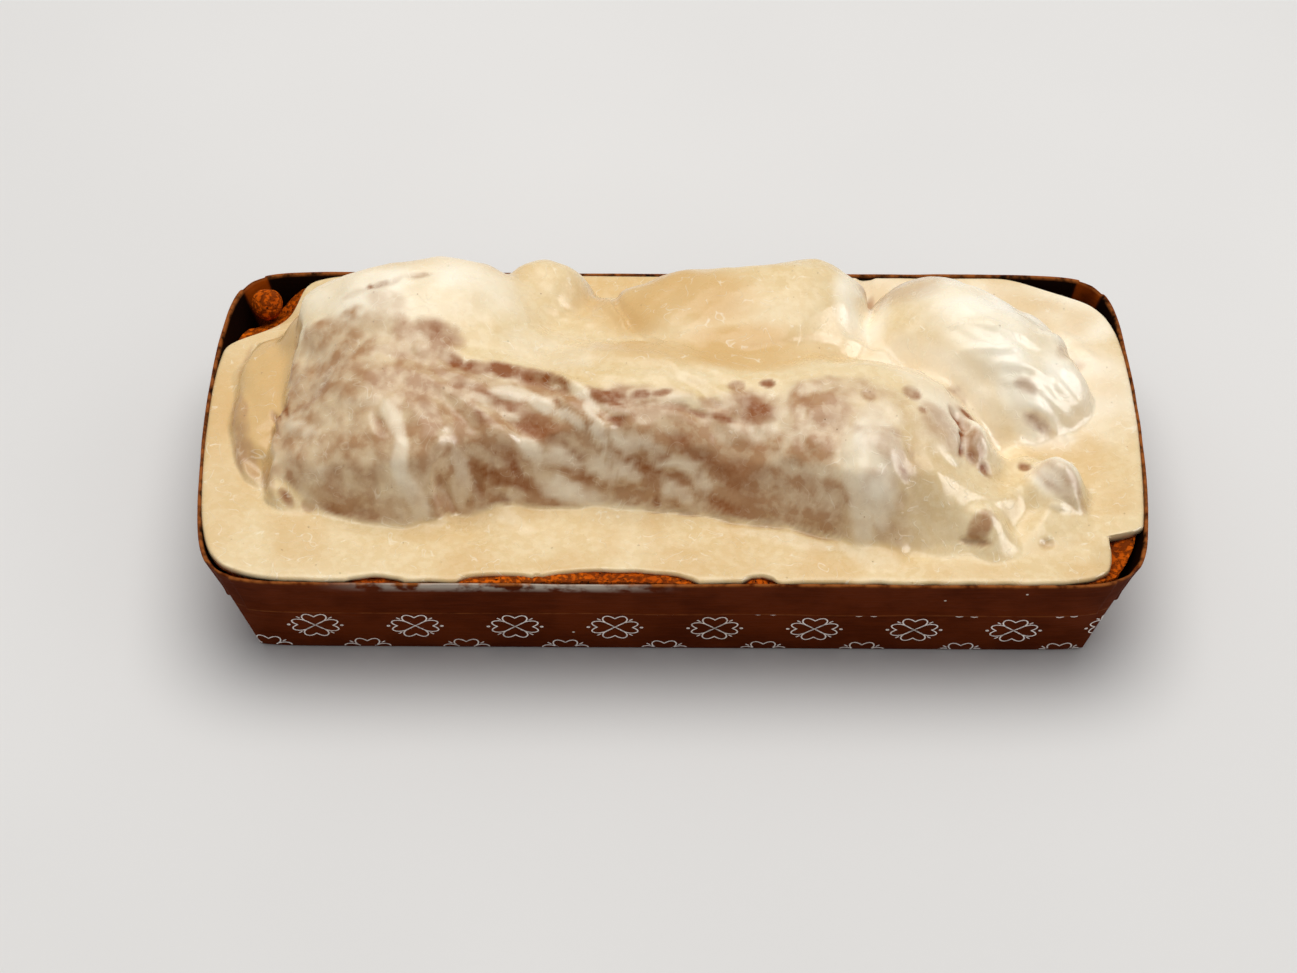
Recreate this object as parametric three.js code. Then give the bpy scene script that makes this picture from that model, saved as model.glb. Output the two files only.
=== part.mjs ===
// A vanilla loaf cake in the paper case that it was baked in: a flared tray with a folded hem, a
// cake that has risen out of it in uneven humps, and a coat of pale icing that has run out to the
// rim. Millimetres, +Z up. The origin is the middle of the tray's base, where it stands on the
// table. +X runs along the loaf to the right and +Y to the back.
import * as THREE from "three";

const { lerp, smoothstep, degToRad } = THREE.MathUtils;

// The paper case, measured outside. Its corners are folded flat, so the outline is cut there.
const RIM_LENGTH = 230;
const RIM_WIDTH = 112;
const BASE_LENGTH = 207.4;
const BASE_WIDTH = 94.8;
const CASE_HEIGHT = 33.5;
const PAPER = 0.5;
const HEM_HEIGHT = 14.6;
const HEM_PROUD = 0.4;
const WALL = PAPER + HEM_PROUD; // from the hem's outside to the inside of the tray
const END_BOW = 3.6; // the filled tray pushes its two ends out by this much at the rim
const RIM_CORNER_CUT = 3.7;
const BASE_CORNER_CUT = 0.7;
const CUT_POWER_ALONG = 24; // how suddenly the long sides, and the ends, turn into their corners
const CUT_POWER_ACROSS = 11;
const CASE_COLUMNS = 44;
const CASE_ROWS = 22;
const BASE_HUB = [18, 7]; // the base's triangles meet here, so that the origin lies inside one

// The cake and its icing
const SHELF_HEIGHT = 33.4; // the flat of the icing round the crown
const FILM = 1.75; // how much icing lies on the cake, measured straight down
const THINNEST_FILM = 0.5;
const GAP = 0.35; // between a piece and what it rests on or against
const LIFT = 0.1; // the icing's underside rises by this share of how far its edge stands back
const END_GAP = 0.5; // the cake has shrunk from the paper at its ends
const FRONT_CORNER_CUT = 1.2; // the cake's top is cut by this much more than the paper, in front
const BACK_CORNER_CUT = 3.2; // and by this much more at the back
const SIDE_CORNER_CUT = 0.9;
const CAKE_ROUNDNESS = 1.3; // the cake's corners are this much rounder than the paper's
const END_DROP = 0.8; // the shelf is this much lower at the ends
const END_DROP_FROM = 84; // and sinks between these distances from the middle
const END_DROP_TO = 114;
const BACK_CORNER_DROP = 3.6; // it is this much lower again in the two back corners
const BACK_DROP_FROM = 12;
const BACK_DROP_TO = 52;
const EDGE_DROP = 0.9; // the icing's edge rolls over by this much
const CAKE_WAIST = 20; // a height between the base and the shelf where the sides take their slope
const CAKE_COLUMNS = 60;
const CAKE_ROWS = 27;

// The humps of the crown. Each is an oval dome: where its top is, how far it rises from the shelf,
// how far it reaches to each side, and how its long axis turns, in degrees.
const HUMPS = [
  { name: "body under all", x: -12, y: 0, rise: 17, left: 86, right: 84, front: 37, back: 45, turn: -3 },
  { name: "left mass", x: -62, y: -2, rise: 25.5, left: 38, right: 50, front: 39, back: 44, turn: -6 },
  { name: "left peak", x: -61, y: 22, rise: 30.5, left: 40, right: 38, front: 38, back: 20, turn: 4 },
  { name: "left terrace", x: -91, y: 0, rise: 14.5, left: 20, right: 30, front: 28, back: 34, turn: 2 },
  { name: "back knob", x: -33, y: 33, rise: 22, left: 12, right: 14, front: 20, back: 12, turn: 0 },
  { name: "back slab", x: 30, y: 29, rise: 25, left: 64, right: 23, front: 30, back: 17, turn: 3 },
  { name: "front ridge", x: -10, y: -8, rise: 25, left: 50, right: 62, front: 27, back: 25, turn: 1 },
  { name: "ridge end", x: 41, y: -10, rise: 24.5, left: 42, right: 40, front: 36, back: 24, turn: -6 },
  { name: "right lobe", x: 79, y: 18, rise: 22, left: 37, right: 34, front: 28, back: 20, turn: -50 },
  { name: "right knob", x: 90, y: -25, rise: 8, left: 14, right: 14, front: 9, back: 9, turn: -43 },
  { name: "right apron", x: 61, y: -27, rise: 13, left: 26, right: 28, front: 19, back: 24, turn: -20 },
  { name: "apron nub", x: 74, y: -36, rise: 7, left: 9, right: 8, front: 7, back: 10, turn: 0 },
  { name: "apron swell", x: 88, y: -36, rise: 4, left: 18, right: 16, front: 10, back: 14, turn: -20 },
];
const OVAL = 2.3; // a hump's plan, between an ellipse and a box
const DOME = 2.3; // how flat its top is
const BROW = 0.72; // how steeply its side meets the shelf
const MERGE = 6; // how sharply two humps meet

// Places where the shelf sinks: the hollows in the corners of the tray.
const HOLLOWS = [
  { name: "back left corner", x: -107, y: 46, depth: 5, reach: 12 },
  { name: "front right corner", x: 110, y: -46, depth: 2, reach: 9 },
];

// Places at the edge that the icing hasn't reached, where the crust shows. Inside an oval of this
// reach about (x, y), the icing's edge stands back by the push.
const BARE_PATCHES = [
  { name: "back left corner", x: -114, y: 50, along: 22, across: 21, pushX: 8, pushY: -5 },
  { name: "back right corner", x: 114, y: 52, along: 16, across: 16, pushX: -3.5, pushY: -3.5 },
  { name: "front right corner", x: 115, y: -46, along: 14, across: 13, pushX: -6.5, pushY: 0.5 },
  { name: "front strip", x: -24, y: -55, along: 34, across: 10, pushX: 0, pushY: 3.8 },
];

// The skin of the crown: shallow lumps all over it, and slanting ridges where the crust has torn
// along the front. The icing half fills both.
const SKIN_FROM = 3; // this relief begins this high above the shelf
const SKIN_TO = 10; // and is at its full height here
const LUMP_RISE = 0.8;
const LUMP_LENGTH = 19;
const LUMP_WIDTH = 13;
const LUMP_LEAN = 0.4; // how far the rows of lumps lean from the loaf's own directions
const LUMP_BEND = 5; // and how far the rows weave from side to side
const LUMP_BEND_LENGTH = 37;
const CRAG_PATCH = { x: -20, y: -17, along: 66, across: 28 };
const CRAG_RISE = 1.1;
const CRAG_SPACING = 7.5;
const CRAG_SLANT = degToRad(-24);
const CRAG_WANDER = 2.2; // how far a ridge strays to each side of a straight line
const CRAG_WANDER_LENGTH = 31;
const CRAG_WANDER_LEAN = 0.6;
const SKIN_SHOWING = 0.55; // the share of this relief that still shows in the icing over it
const SOFTENING = 3; // the icing evens out the cake over a circle of this radius
const SOFTENING_STEPS = 8;

// A point of the tray's plan. u and v run from -1 to 1 over its length and width, so that u or v
// at either end is the outline. level is 0 at the base and 1 at the rim.
function trayPoint(u, v, level, { endInset = 0, sideInset = 0, extraCut = 0, roundness = 1 }) {
  const cut = lerp(BASE_CORNER_CUT, RIM_CORNER_CUT, level) + extraCut;
  const bow = END_BOW * level * (1 - v * v);
  const halfLength = lerp(BASE_LENGTH, RIM_LENGTH, level) / 2 - endInset;
  const halfWidth = lerp(BASE_WIDTH, RIM_WIDTH, level) / 2 - sideInset;
  const x = u * (halfLength + bow - cut * Math.abs(v) ** (CUT_POWER_ACROSS / roundness));
  const y = v * (halfWidth - cut * Math.abs(u) ** (CUT_POWER_ALONG / roundness));
  return [x, y];
}

// The outline of a grid of columns by rows, anticlockwise seen from above, as [column, row] pairs.
function outlineCells(columns, rows) {
  const cells = [];
  for (let i = 0; i < columns; i += 1) cells.push([i, 0]);
  for (let j = 0; j < rows; j += 1) cells.push([columns, j]);
  for (let i = columns; i > 0; i -= 1) cells.push([i, rows]);
  for (let j = rows; j > 0; j -= 1) cells.push([0, j]);
  return cells;
}

// Collects the vertices and triangles of one closed solid.
class Skin {
  positions = [];
  triangles = [];

  vertex(x, y, z) {
    this.positions.push(x, y, z);
    return this.positions.length / 3 - 1;
  }

  // A band between two loops of the same length. Walking the loops anticlockwise, the band's
  // outside is to the right of the way from the first loop to the second.
  band(first, second) {
    first.forEach((corner, k) => {
      const next = (k + 1) % first.length;
      this.triangles.push(corner, first[next], second[next]);
      this.triangles.push(corner, second[next], second[k]);
    });
  }

  bands(loops) {
    for (let k = 1; k < loops.length; k += 1) this.band(loops[k - 1], loops[k]);
  }

  // Closes a loop with triangles that meet in one hub, facing up or down.
  lid(loop, hub, facing) {
    loop.forEach((corner, k) => {
      const next = loop[(k + 1) % loop.length];
      this.triangles.push(hub, ...(facing > 0 ? [corner, next] : [next, corner]));
    });
  }

  // A sheet over the whole plan: place(u, v) gives each point. Each cell is split along whichever
  // diagonal lies flatter on the crown. Returns the loop of the sheet's outline.
  sheet(columns, rows, facing, place) {
    const at = [];
    for (let j = 0; j <= rows; j += 1) {
      for (let i = 0; i <= columns; i += 1) {
        at.push(this.vertex(...place((2 * i) / columns - 1, (2 * j) / rows - 1)));
      }
    }
    const corner = (i, j) => at[j * (columns + 1) + i];
    const crownAt = (i, j) => crownHeight(...cakePlan((2 * i) / columns - 1, (2 * j) / rows - 1));
    for (let j = 0; j < rows; j += 1) {
      for (let i = 0; i < columns; i += 1) {
        const rising = Math.abs(crownAt(i, j) - crownAt(i + 1, j + 1));
        const falling = Math.abs(crownAt(i + 1, j) - crownAt(i, j + 1));
        const cell = [corner(i, j), corner(i + 1, j), corner(i + 1, j + 1), corner(i, j + 1)];
        const [a, b, c, d] = falling < rising ? [...cell.slice(1), cell[0]] : cell;
        this.triangles.push(...(facing > 0 ? [a, b, c, a, c, d] : [a, c, b, a, d, c]));
      }
    }
    return outlineCells(columns, rows).map(([i, j]) => corner(i, j));
  }

  geometry() {
    const geometry = new THREE.BufferGeometry();
    geometry.setAttribute("position", new THREE.Float32BufferAttribute(this.positions, 3));
    geometry.setIndex(this.triangles);
    geometry.computeVertexNormals();
    return geometry;
  }
}

// How high one hump stands above the shelf at a point.
function humpHeight(x, y, hump) {
  const turn = degToRad(hump.turn);
  const along = (x - hump.x) * Math.cos(turn) + (y - hump.y) * Math.sin(turn);
  const across = (y - hump.y) * Math.cos(turn) - (x - hump.x) * Math.sin(turn);
  const alongShare = Math.abs(along) / (along < 0 ? hump.left : hump.right);
  const acrossShare = Math.abs(across) / (across < 0 ? hump.front : hump.back);
  const share = (alongShare ** OVAL + acrossShare ** OVAL) ** (1 / OVAL);
  return hump.rise * Math.max(1 - share ** DOME, 0) ** BROW;
}

function crownHeight(x, y) {
  const sum = HUMPS.reduce((total, hump) => total + humpHeight(x, y, hump) ** MERGE, 0);
  return sum ** (1 / MERGE);
}

// The crown as the icing sees it: the mean over a small circle, which fills creases and feet.
function softCrownHeight(x, y) {
  let sum = crownHeight(x, y);
  for (let k = 0; k < SOFTENING_STEPS; k += 1) {
    const angle = (2 * Math.PI * k) / SOFTENING_STEPS;
    sum += crownHeight(x + SOFTENING * Math.cos(angle), y + SOFTENING * Math.sin(angle));
  }
  return sum / (SOFTENING_STEPS + 1);
}

// The level of the icing round the crown: almost flat, lower at the ends and in the back corners.
function shelfLevel(x, y) {
  const towardsEnd = smoothstep(Math.abs(x), END_DROP_FROM, END_DROP_TO);
  const towardsBack = smoothstep(y, BACK_DROP_FROM, BACK_DROP_TO);
  return SHELF_HEIGHT - END_DROP * towardsEnd - BACK_CORNER_DROP * towardsEnd * towardsBack;
}

function hollowDepth(x, y) {
  return HOLLOWS.reduce((total, { x: cx, y: cy, depth, reach }) => {
    const share = Math.hypot(x - cx, y - cy) / reach;
    return total + depth * Math.max(1 - share * share, 0) ** 2;
  }, 0);
}

// A wave that rises and falls once in each wavelength.
function wave(distance, wavelength) {
  return Math.sin((2 * Math.PI * distance) / wavelength);
}

// 1 at the middle of an oval patch, and 0 outside it.
function ovalFade(x, y, patch) {
  const share = Math.hypot((x - patch.x) / patch.along, (y - patch.y) / patch.across);
  return Math.max(1 - share * share, 0);
}

// The lumps and torn ridges of the skin. There are none on the shelf.
function skinRelief(x, y) {
  const onHump = smoothstep(crownHeight(x, y), SKIN_FROM, SKIN_TO);
  const bent = x + LUMP_BEND * wave(y, LUMP_BEND_LENGTH);
  const row = wave(y - LUMP_LEAN * x, LUMP_WIDTH);
  const lumps = LUMP_RISE * row * wave(bent + LUMP_LEAN * y, LUMP_LENGTH);
  const wander = CRAG_WANDER * wave(x + CRAG_WANDER_LEAN * y, CRAG_WANDER_LENGTH);
  const across = y * Math.cos(CRAG_SLANT) - x * Math.sin(CRAG_SLANT) + wander;
  const torn = ovalFade(x, y, CRAG_PATCH);
  return onHump * (lumps + CRAG_RISE * torn * wave(across, CRAG_SPACING));
}

function cakeTop(x, y) {
  return shelfLevel(x, y) - FILM - hollowDepth(x, y) + crownHeight(x, y) + skinRelief(x, y);
}

function icingTop(x, y) {
  const level = shelfLevel(x, y) - hollowDepth(x, y) + softCrownHeight(x, y);
  const showing = level + SKIN_SHOWING * skinRelief(x, y);
  return Math.max(showing, cakeTop(x, y) + GAP + THINNEST_FILM);
}

// The plan of the cake's top, inside the paper. The walls flare, so where the cake's edge lies
// lower it also lies further in.
function cakePlan(u, v) {
  const insets = {
    endInset: WALL + END_GAP,
    sideInset: WALL + GAP,
    extraCut: lerp(FRONT_CORNER_CUT, BACK_CORNER_CUT, (v + 1) / 2),
    roundness: CAKE_ROUNDNESS,
  };
  const rimPoint = trayPoint(u, v, 1, insets);
  const edgeHeight = shelfLevel(...rimPoint) - hollowDepth(...rimPoint) - FILM;
  return trayPoint(u, v, edgeHeight / CASE_HEIGHT, insets);
}

// The plan of the icing: the cake's, pushed back from the edge at the bare patches.
function icingPlan(u, v) {
  const [x, y] = cakePlan(u, v);
  let [pushedX, pushedY] = [x, y];
  for (const patch of BARE_PATCHES) {
    const push = ovalFade(x, y, patch) ** 2;
    pushedX += push * patch.pushX;
    pushedY += push * patch.pushY;
  }
  return [pushedX, pushedY];
}

function makeCase() {
  const skin = new Skin();
  const loop = (height, insets) => outlineCells(CASE_COLUMNS, CASE_ROWS).map(([i, j]) => {
    const [u, v] = [(2 * i) / CASE_COLUMNS - 1, (2 * j) / CASE_ROWS - 1];
    return skin.vertex(...trayPoint(u, v, height / CASE_HEIGHT, insets), height);
  });
  const hemFoot = CASE_HEIGHT - HEM_HEIGHT;
  const under = { endInset: HEM_PROUD, sideInset: HEM_PROUD };
  const inside = { endInset: WALL, sideInset: WALL };
  const outerBase = loop(0, {});
  const innerBase = loop(PAPER, inside);
  skin.bands([
    outerBase,
    loop(hemFoot, under),
    loop(hemFoot, {}),
    loop(CASE_HEIGHT, {}),
    loop(CASE_HEIGHT, inside),
    innerBase,
  ]);
  skin.lid(outerBase, skin.vertex(...BASE_HUB, 0), -1);
  skin.lid(innerBase, skin.vertex(...BASE_HUB, PAPER), 1);
  return skin.geometry();
}

function makeCake() {
  const skin = new Skin();
  const top = skin.sheet(CAKE_COLUMNS, CAKE_ROWS, 1, (u, v) => {
    const [x, y] = cakePlan(u, v);
    return [x, y, cakeTop(x, y)];
  });
  const insets = { endInset: WALL + GAP, sideInset: WALL + GAP, extraCut: SIDE_CORNER_CUT };
  const loop = (height) => outlineCells(CAKE_COLUMNS, CAKE_ROWS).map(([i, j]) => {
    const [u, v] = [(2 * i) / CAKE_COLUMNS - 1, (2 * j) / CAKE_ROWS - 1];
    return skin.vertex(...trayPoint(u, v, height / CASE_HEIGHT, insets), height);
  });
  const foot = loop(PAPER + GAP);
  skin.bands([foot, loop(CAKE_WAIST), top]);
  skin.lid(foot, skin.vertex(...BASE_HUB, PAPER + GAP), -1);
  return skin.geometry();
}

function makeIcing() {
  const skin = new Skin();
  const under = skin.sheet(CAKE_COLUMNS, CAKE_ROWS, -1, (u, v) => {
    const [x, y] = icingPlan(u, v);
    const [cakeX, cakeY] = cakePlan(u, v);
    return [x, y, cakeTop(x, y) + GAP + LIFT * Math.hypot(x - cakeX, y - cakeY)];
  });
  const over = skin.sheet(CAKE_COLUMNS, CAKE_ROWS, 1, (u, v) => {
    const [x, y] = icingPlan(u, v);
    const atEdge = Math.abs(u) === 1 || Math.abs(v) === 1;
    return [x, y, icingTop(x, y) - (atEdge ? EDGE_DROP : 0)];
  });
  skin.band(under, over);
  return skin.geometry();
}

function piece(name, geometry, color, roughness) {
  const material = new THREE.MeshStandardMaterial({ color, roughness, metalness: 0 });
  const mesh = new THREE.Mesh(geometry, material);
  mesh.name = name;
  return mesh;
}

const loaf = new THREE.Group();
loaf.add(piece("paper_case", makeCase(), 0x4a2112, 0.75));
loaf.add(piece("cake", makeCake(), 0x9a5a22, 0.85));
loaf.add(piece("icing", makeIcing(), 0xefd9a8, 0.35));
export default loaf;
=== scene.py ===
# %% [markdown]
# # A vanilla loaf cake in its paper case
# The loaf was baked in a low case of dark printed paper. It rose out of the case in uneven humps,
# and a pale icing was poured over it, which ran down to the rim and set. So there are three main
# pieces: the paper, the cake and the icing, and the pattern printed on the paper is a fourth.
# Their plain solids are made already and come in as a fixed frame. This lesson replaces each solid
# by a finer mesh of the same form, and gives it its finish.

import itertools
import math

import bpy
import numpy as np
from mathutils import Matrix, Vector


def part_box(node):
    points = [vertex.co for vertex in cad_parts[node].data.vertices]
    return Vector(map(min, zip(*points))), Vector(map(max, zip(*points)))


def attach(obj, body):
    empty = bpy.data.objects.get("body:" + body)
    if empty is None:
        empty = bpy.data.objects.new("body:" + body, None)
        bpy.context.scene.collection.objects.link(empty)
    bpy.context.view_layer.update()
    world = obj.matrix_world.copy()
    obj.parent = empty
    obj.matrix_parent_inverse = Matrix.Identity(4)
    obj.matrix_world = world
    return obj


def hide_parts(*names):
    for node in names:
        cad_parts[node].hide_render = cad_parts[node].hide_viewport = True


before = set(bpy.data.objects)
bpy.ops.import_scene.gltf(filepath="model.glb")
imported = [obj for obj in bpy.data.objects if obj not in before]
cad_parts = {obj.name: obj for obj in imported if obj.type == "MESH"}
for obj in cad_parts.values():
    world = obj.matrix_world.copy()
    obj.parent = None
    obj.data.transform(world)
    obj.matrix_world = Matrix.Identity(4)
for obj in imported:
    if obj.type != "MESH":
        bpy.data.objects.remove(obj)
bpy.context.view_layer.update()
print("solids:", ", ".join(sorted(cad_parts)))

# %% [markdown]
# ## Sizes
# Blender works in metres, but a cake is easier to think about in millimetres, so every size below
# is in millimetres and is turned into metres when a mesh is made. The sizes of the case are read
# from the frame. The others say how the case tapers and how its corners are folded. They are the
# sizes that the solids were made with, so that the fine meshes lie exactly on them.

# %% Sizes of the paper case
MM = 0.001  # one millimetre in metres

_, case_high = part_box("paper_case")
CASE_HEIGHT = case_high.z / MM
RIM_WIDTH = 2 * case_high.y / MM
END_BOW = 3.6  # the filled case pushes its two ends out by this much
RIM_LENGTH = 2 * (case_high.x / MM - END_BOW)
BASE_LENGTH = 207.4
BASE_WIDTH = 94.8
PAPER = 0.5
HEM_HEIGHT = 14.6
HEM_PROUD = 0.4  # the hem stands out from the wall below it by this much
WALL = PAPER + HEM_PROUD
RIM_CORNER_CUT = 3.7  # the folded corners take this much off the rectangle
BASE_CORNER_CUT = 0.7
CUT_POWER_ALONG = 24  # the higher the power, the shorter the part of a side that is rounded off
CUT_POWER_ACROSS = 11
print(f"rim {RIM_LENGTH:.0f} x {RIM_WIDTH:.0f} mm, height {CASE_HEIGHT:.1f} mm")

# %% [markdown]
# ### The plan of the case
# The cake and the icing fill the case, so all three pieces share one plan: a rectangle that grows
# from the base to the rim, with its corners cut off and its ends bowed out. One function gives it at
# any height. Its points are named by u and v, their shares of the length and the width, so that the
# same grid can be laid at each height.


# %% The plan of the case at any height
def blend(start, end, share):
    return start + (end - start) * share


def ramp(value, low, high):
    """0 below low, 1 above high, and a smooth rise between. With low above high it falls instead."""
    share = np.clip((value - low) / (high - low), 0, 1)
    return share * share * (3 - 2 * share)


def case_point(u, v, level, end_inset=0, side_inset=0, extra_cut=0, roundness=1):
    """u and v run from -1 to 1 over the length and the width; level is 0 at the base, 1 at the rim."""
    cut = blend(BASE_CORNER_CUT, RIM_CORNER_CUT, level) + extra_cut
    bow = END_BOW * level * (1 - v * v)
    half_length = blend(BASE_LENGTH, RIM_LENGTH, level) / 2 - end_inset
    half_width = blend(BASE_WIDTH, RIM_WIDTH, level) / 2 - side_inset
    x = u * (half_length + bow - cut * np.abs(v) ** (CUT_POWER_ACROSS / roundness))
    y = v * (half_width - cut * np.abs(u) ** (CUT_POWER_ALONG / roundness))
    return x, y


corner = case_point(1.0, 1.0, 1.0)
print(f"the rim turns its corner at x {corner[0]:.1f}, y {corner[1]:.1f} mm")

# %% [markdown]
# ## Random numbers that stay the same
# Nothing on a cake is even, so many sizes get a little noise. Value noise is the simplest kind: a
# lattice of random numbers, with smooth steps from one to the next. The lattice comes from a seeded
# generator, so each run gives the same cake. It is read in three dimensions, so that lumps don't
# stretch where the crown is steep. In each call below the second number is the size of the lumps in
# millimetres, and the third picks the lattice.

# %% Noise and mesh helpers
LATTICE = 64  # cells before the noise repeats


def noise(points, size, seed):
    """Smooth random numbers from -1 to 1 that change over about `size` millimetres."""
    lattice = np.random.default_rng(seed).uniform(-1, 1, (LATTICE,) * 3)
    scaled = np.moveaxis(points / size, -1, 0)
    low = np.floor(scaled).astype(int)
    share = scaled - low
    share = share * share * (3 - 2 * share)
    cells, weights = (low % LATTICE, (low + 1) % LATTICE), (1 - share, share)
    total = 0
    for i, j, k in itertools.product((0, 1), repeat=3):
        weight = weights[i][0] * weights[j][1] * weights[k][2]
        total = total + weight * lattice[cells[i][0], cells[j][1], cells[k][2]]
    return total


def stack(x, y, z):
    return np.stack(np.broadcast_arrays(x, y, z), axis=-1).astype(float)


def make_piece(name, points, faces, **attributes):
    """A smooth mesh object from points in millimetres, with a number per point for each attribute."""
    mesh = bpy.data.meshes.new(name)
    mesh.from_pydata((points * MM).tolist(), [], faces)
    mesh.shade_smooth()
    for key, values in attributes.items():
        layer = mesh.attributes.new(key, "FLOAT", "POINT")
        layer.data.foreach_set("value", np.asarray(values, np.float32).ravel())
    piece = bpy.data.objects.new(name, mesh)
    bpy.context.scene.collection.objects.link(piece)
    triangles = sum(len(face) - 2 for face in faces)
    print(f"{name}: {len(points)} points, {triangles} triangles")
    return piece


# %% [markdown]
# ### Grids of points
# A grid over the plan, closed by bands and by a second grid below, makes a solid whose faces are
# known to point outwards. The grid is denser near the rim, where the edges of the pieces show.


# %% Grids of points
def stations(count, crowding):
    """Evenly spaced numbers from -1 to 1, pushed towards the ends by `crowding`, from 0 to 1."""
    even = np.linspace(-1, 1, count + 1)
    return even + crowding * np.sin(math.pi * even) / math.pi


def grid(columns, rows, crowding=0.62):
    return np.meshgrid(stations(columns, crowding), stations(rows, crowding))


def grid_faces(columns, rows, first=0, upward=True):
    corner = first + np.arange(rows)[:, None] * (columns + 1) + np.arange(columns)
    cells = np.stack([corner, corner + 1, corner + columns + 2, corner + columns + 1], axis=-1)
    cells = cells.reshape(-1, 4)
    return (cells if upward else cells[:, ::-1]).tolist()


def grid_outline(columns, rows, first=0):
    """The points round a grid's edge, anticlockwise from above."""
    index = first + np.arange((rows + 1) * (columns + 1)).reshape(rows + 1, columns + 1)
    sides = [index[0, :-1], index[:-1, -1], index[-1, :0:-1], index[:0:-1, 0]]
    return np.concatenate(sides)


def band_faces(below, above):
    """Quads between two loops of the same length. Walking anticlockwise, they face outwards."""
    after_below, after_above = np.roll(below, -1), np.roll(above, -1)
    return np.stack([below, after_below, after_above, above], axis=-1).tolist()


print("20 stations, crowded to the ends:", np.round(stations(20, 0.62), 2))

# %% [markdown]
# ## The form of the loaf
# A loaf that rises over its case could be sculpted by hand, but a sum of simple domes is easier to
# change and to check. Each hump is an oval dome with its own reach to each side. A high-power mean
# joins them, so that the highest one wins and the joints stay soft. At the front the humps rise from
# one long foot line. Their outlines would be too even, so the places are shifted about a little
# before the domes are read. The icing round the crown is nearly flat: this is the shelf.

# %% The humps of the crown
HUMPS = [  # x, y, rise, then the reach to the left, right, front and back, and the turn in degrees
    (-12, 0, 17, 86, 84, 37, 45, -3),  # the body under all
    (-62, -2, 25.5, 39.5, 50, 40, 44, -4),  # the left mass
    (-61, 22, 30.5, 40, 38, 38, 20, 4),  # its peak
    (-93, 2, 8.4, 17.5, 30, 29, 33, 2),  # the left terrace
    (-33, 33, 22, 12, 14, 20, 12, 0),  # the knob at the back
    (30, 29, 25, 64, 23, 30, 17, 3),  # the back slab
    (12, 12, 21.5, 36, 38, 20, 26, 3),  # the level place between it and the front ridge
    (-10, -8, 25, 50, 62, 27, 25, 1),  # the front ridge
    (41, -10, 24.5, 42, 40, 36, 24, -6),  # its right end
    (75, 20, 21.5, 32, 30, 24, 20, -50),  # the right lobe
    (89, 15, 15.5, 24, 19, 24, 16, -58),  # its lower half
    (57, 22, 14, 14, 16, 24, 20, -40),  # the saddle before it
    (90, -25, 8, 14, 14, 9, 9, -43),  # the right knob
    (61, -27, 10.5, 26, 28, 19, 24, -20),  # the right apron
    (74, -36, 7, 9, 8, 7, 10, 0),  # the nub on it
    (88, -36, 4, 18, 16, 10, 14, -20),  # the swell below it
]
OVAL, DOME, BROW = 2.3, 2.3, 0.72  # powers of a hump's outline, of its dome and of its steep foot
MERGE = 10  # the power of the mean that joins the humps
SOFTENING, SOFTENING_STEPS = 1.1, 8  # the icing evens out the crown over a circle of this radius
WARPS = [(19, 2.0), (8, 1.1), (4, 0.35)]  # over which length the outlines wander, and how far


def along_and_across(x, y, middle_x, middle_y, degrees):
    """How far each place lies from a middle, in a direction that is turned by some degrees."""
    turn = math.radians(degrees)
    along = (x - middle_x) * math.cos(turn) + (y - middle_y) * math.sin(turn)
    across = (y - middle_y) * math.cos(turn) - (x - middle_x) * math.sin(turn)
    return along, across


def warped(x, y):
    """The same places, shifted about, so that nothing built on them keeps an even outline."""
    place = stack(x, y, 0)
    for number, (length, shift) in enumerate(WARPS):
        x = x + shift * noise(place, length, 81 + number)
        y = y + shift * noise(place, length, 91 + number)
    return x, y


FOOT = [  # x and y along the front foot of the humps, where they meet the flat icing
    (-113, -8), (-106.5, -16), (-102, -21), (-100.8, -23.6), (-94.8, -30.5), (-86.4, -33.7),
    (-75.5, -36.7), (-65.6, -37.3), (-58.6, -35.8), (-53.4, -31.7), (-42.6, -30.6), (-34, -30.6),
    (-21, -29.5), (-8, -30.5), (-1.4, -31.7), (7.4, -32.8), (18.2, -35.9), (28.2, -36.9),
    (40.6, -41), (45, -43.4), (51, -44.4), (57, -46.4), (78, -46.6), (91, -46), (100, -42),
    (112, -32),
]
FOOT_WIDTH = [(47, 7.5), (59, 14)]  # x, and the distance over which the humps come down to nothing


def foot_share(x, y):
    """0 in front of the foot, and 1 behind it, where the humps have their full height."""
    behind = y - np.interp(x, *zip(*FOOT)) + 0.7 * noise(stack(x, y, 0), 6, 74)
    return ramp(behind, -0.3, np.interp(x, *zip(*FOOT_WIDTH))) ** 0.7


def humps_height(x, y):
    total = 0
    for cx, cy, rise, left, right, front, back, degrees in HUMPS:
        along, across = along_and_across(x, y, cx, cy, degrees)
        along_share = np.abs(along) / np.where(along < 0, left, right)
        across_share = np.abs(across) / np.where(across < 0, front, back)
        share = (along_share**OVAL + across_share**OVAL) ** (1 / OVAL)
        total = total + (rise * np.maximum(1 - share**DOME, 0) ** BROW) ** MERGE
    return total ** (1 / MERGE)


def crown_height(x, y):
    return humps_height(*warped(x, y)) * foot_share(x, y)


def soft_crown_height(x, y):
    """The crown as the icing evens it out: the mean over a small circle."""
    share = foot_share(x, y)
    x, y = warped(x, y)
    total = humps_height(x, y)
    for step in range(SOFTENING_STEPS):
        angle = 2 * math.pi * step / SOFTENING_STEPS
        total = total + humps_height(x + SOFTENING * math.cos(angle), y + SOFTENING * math.sin(angle))
    return share * total / (SOFTENING_STEPS + 1)


print(f"the crown stands {crown_height(np.array(-61.0), np.array(22.0)):.1f} mm over the shelf")

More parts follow.
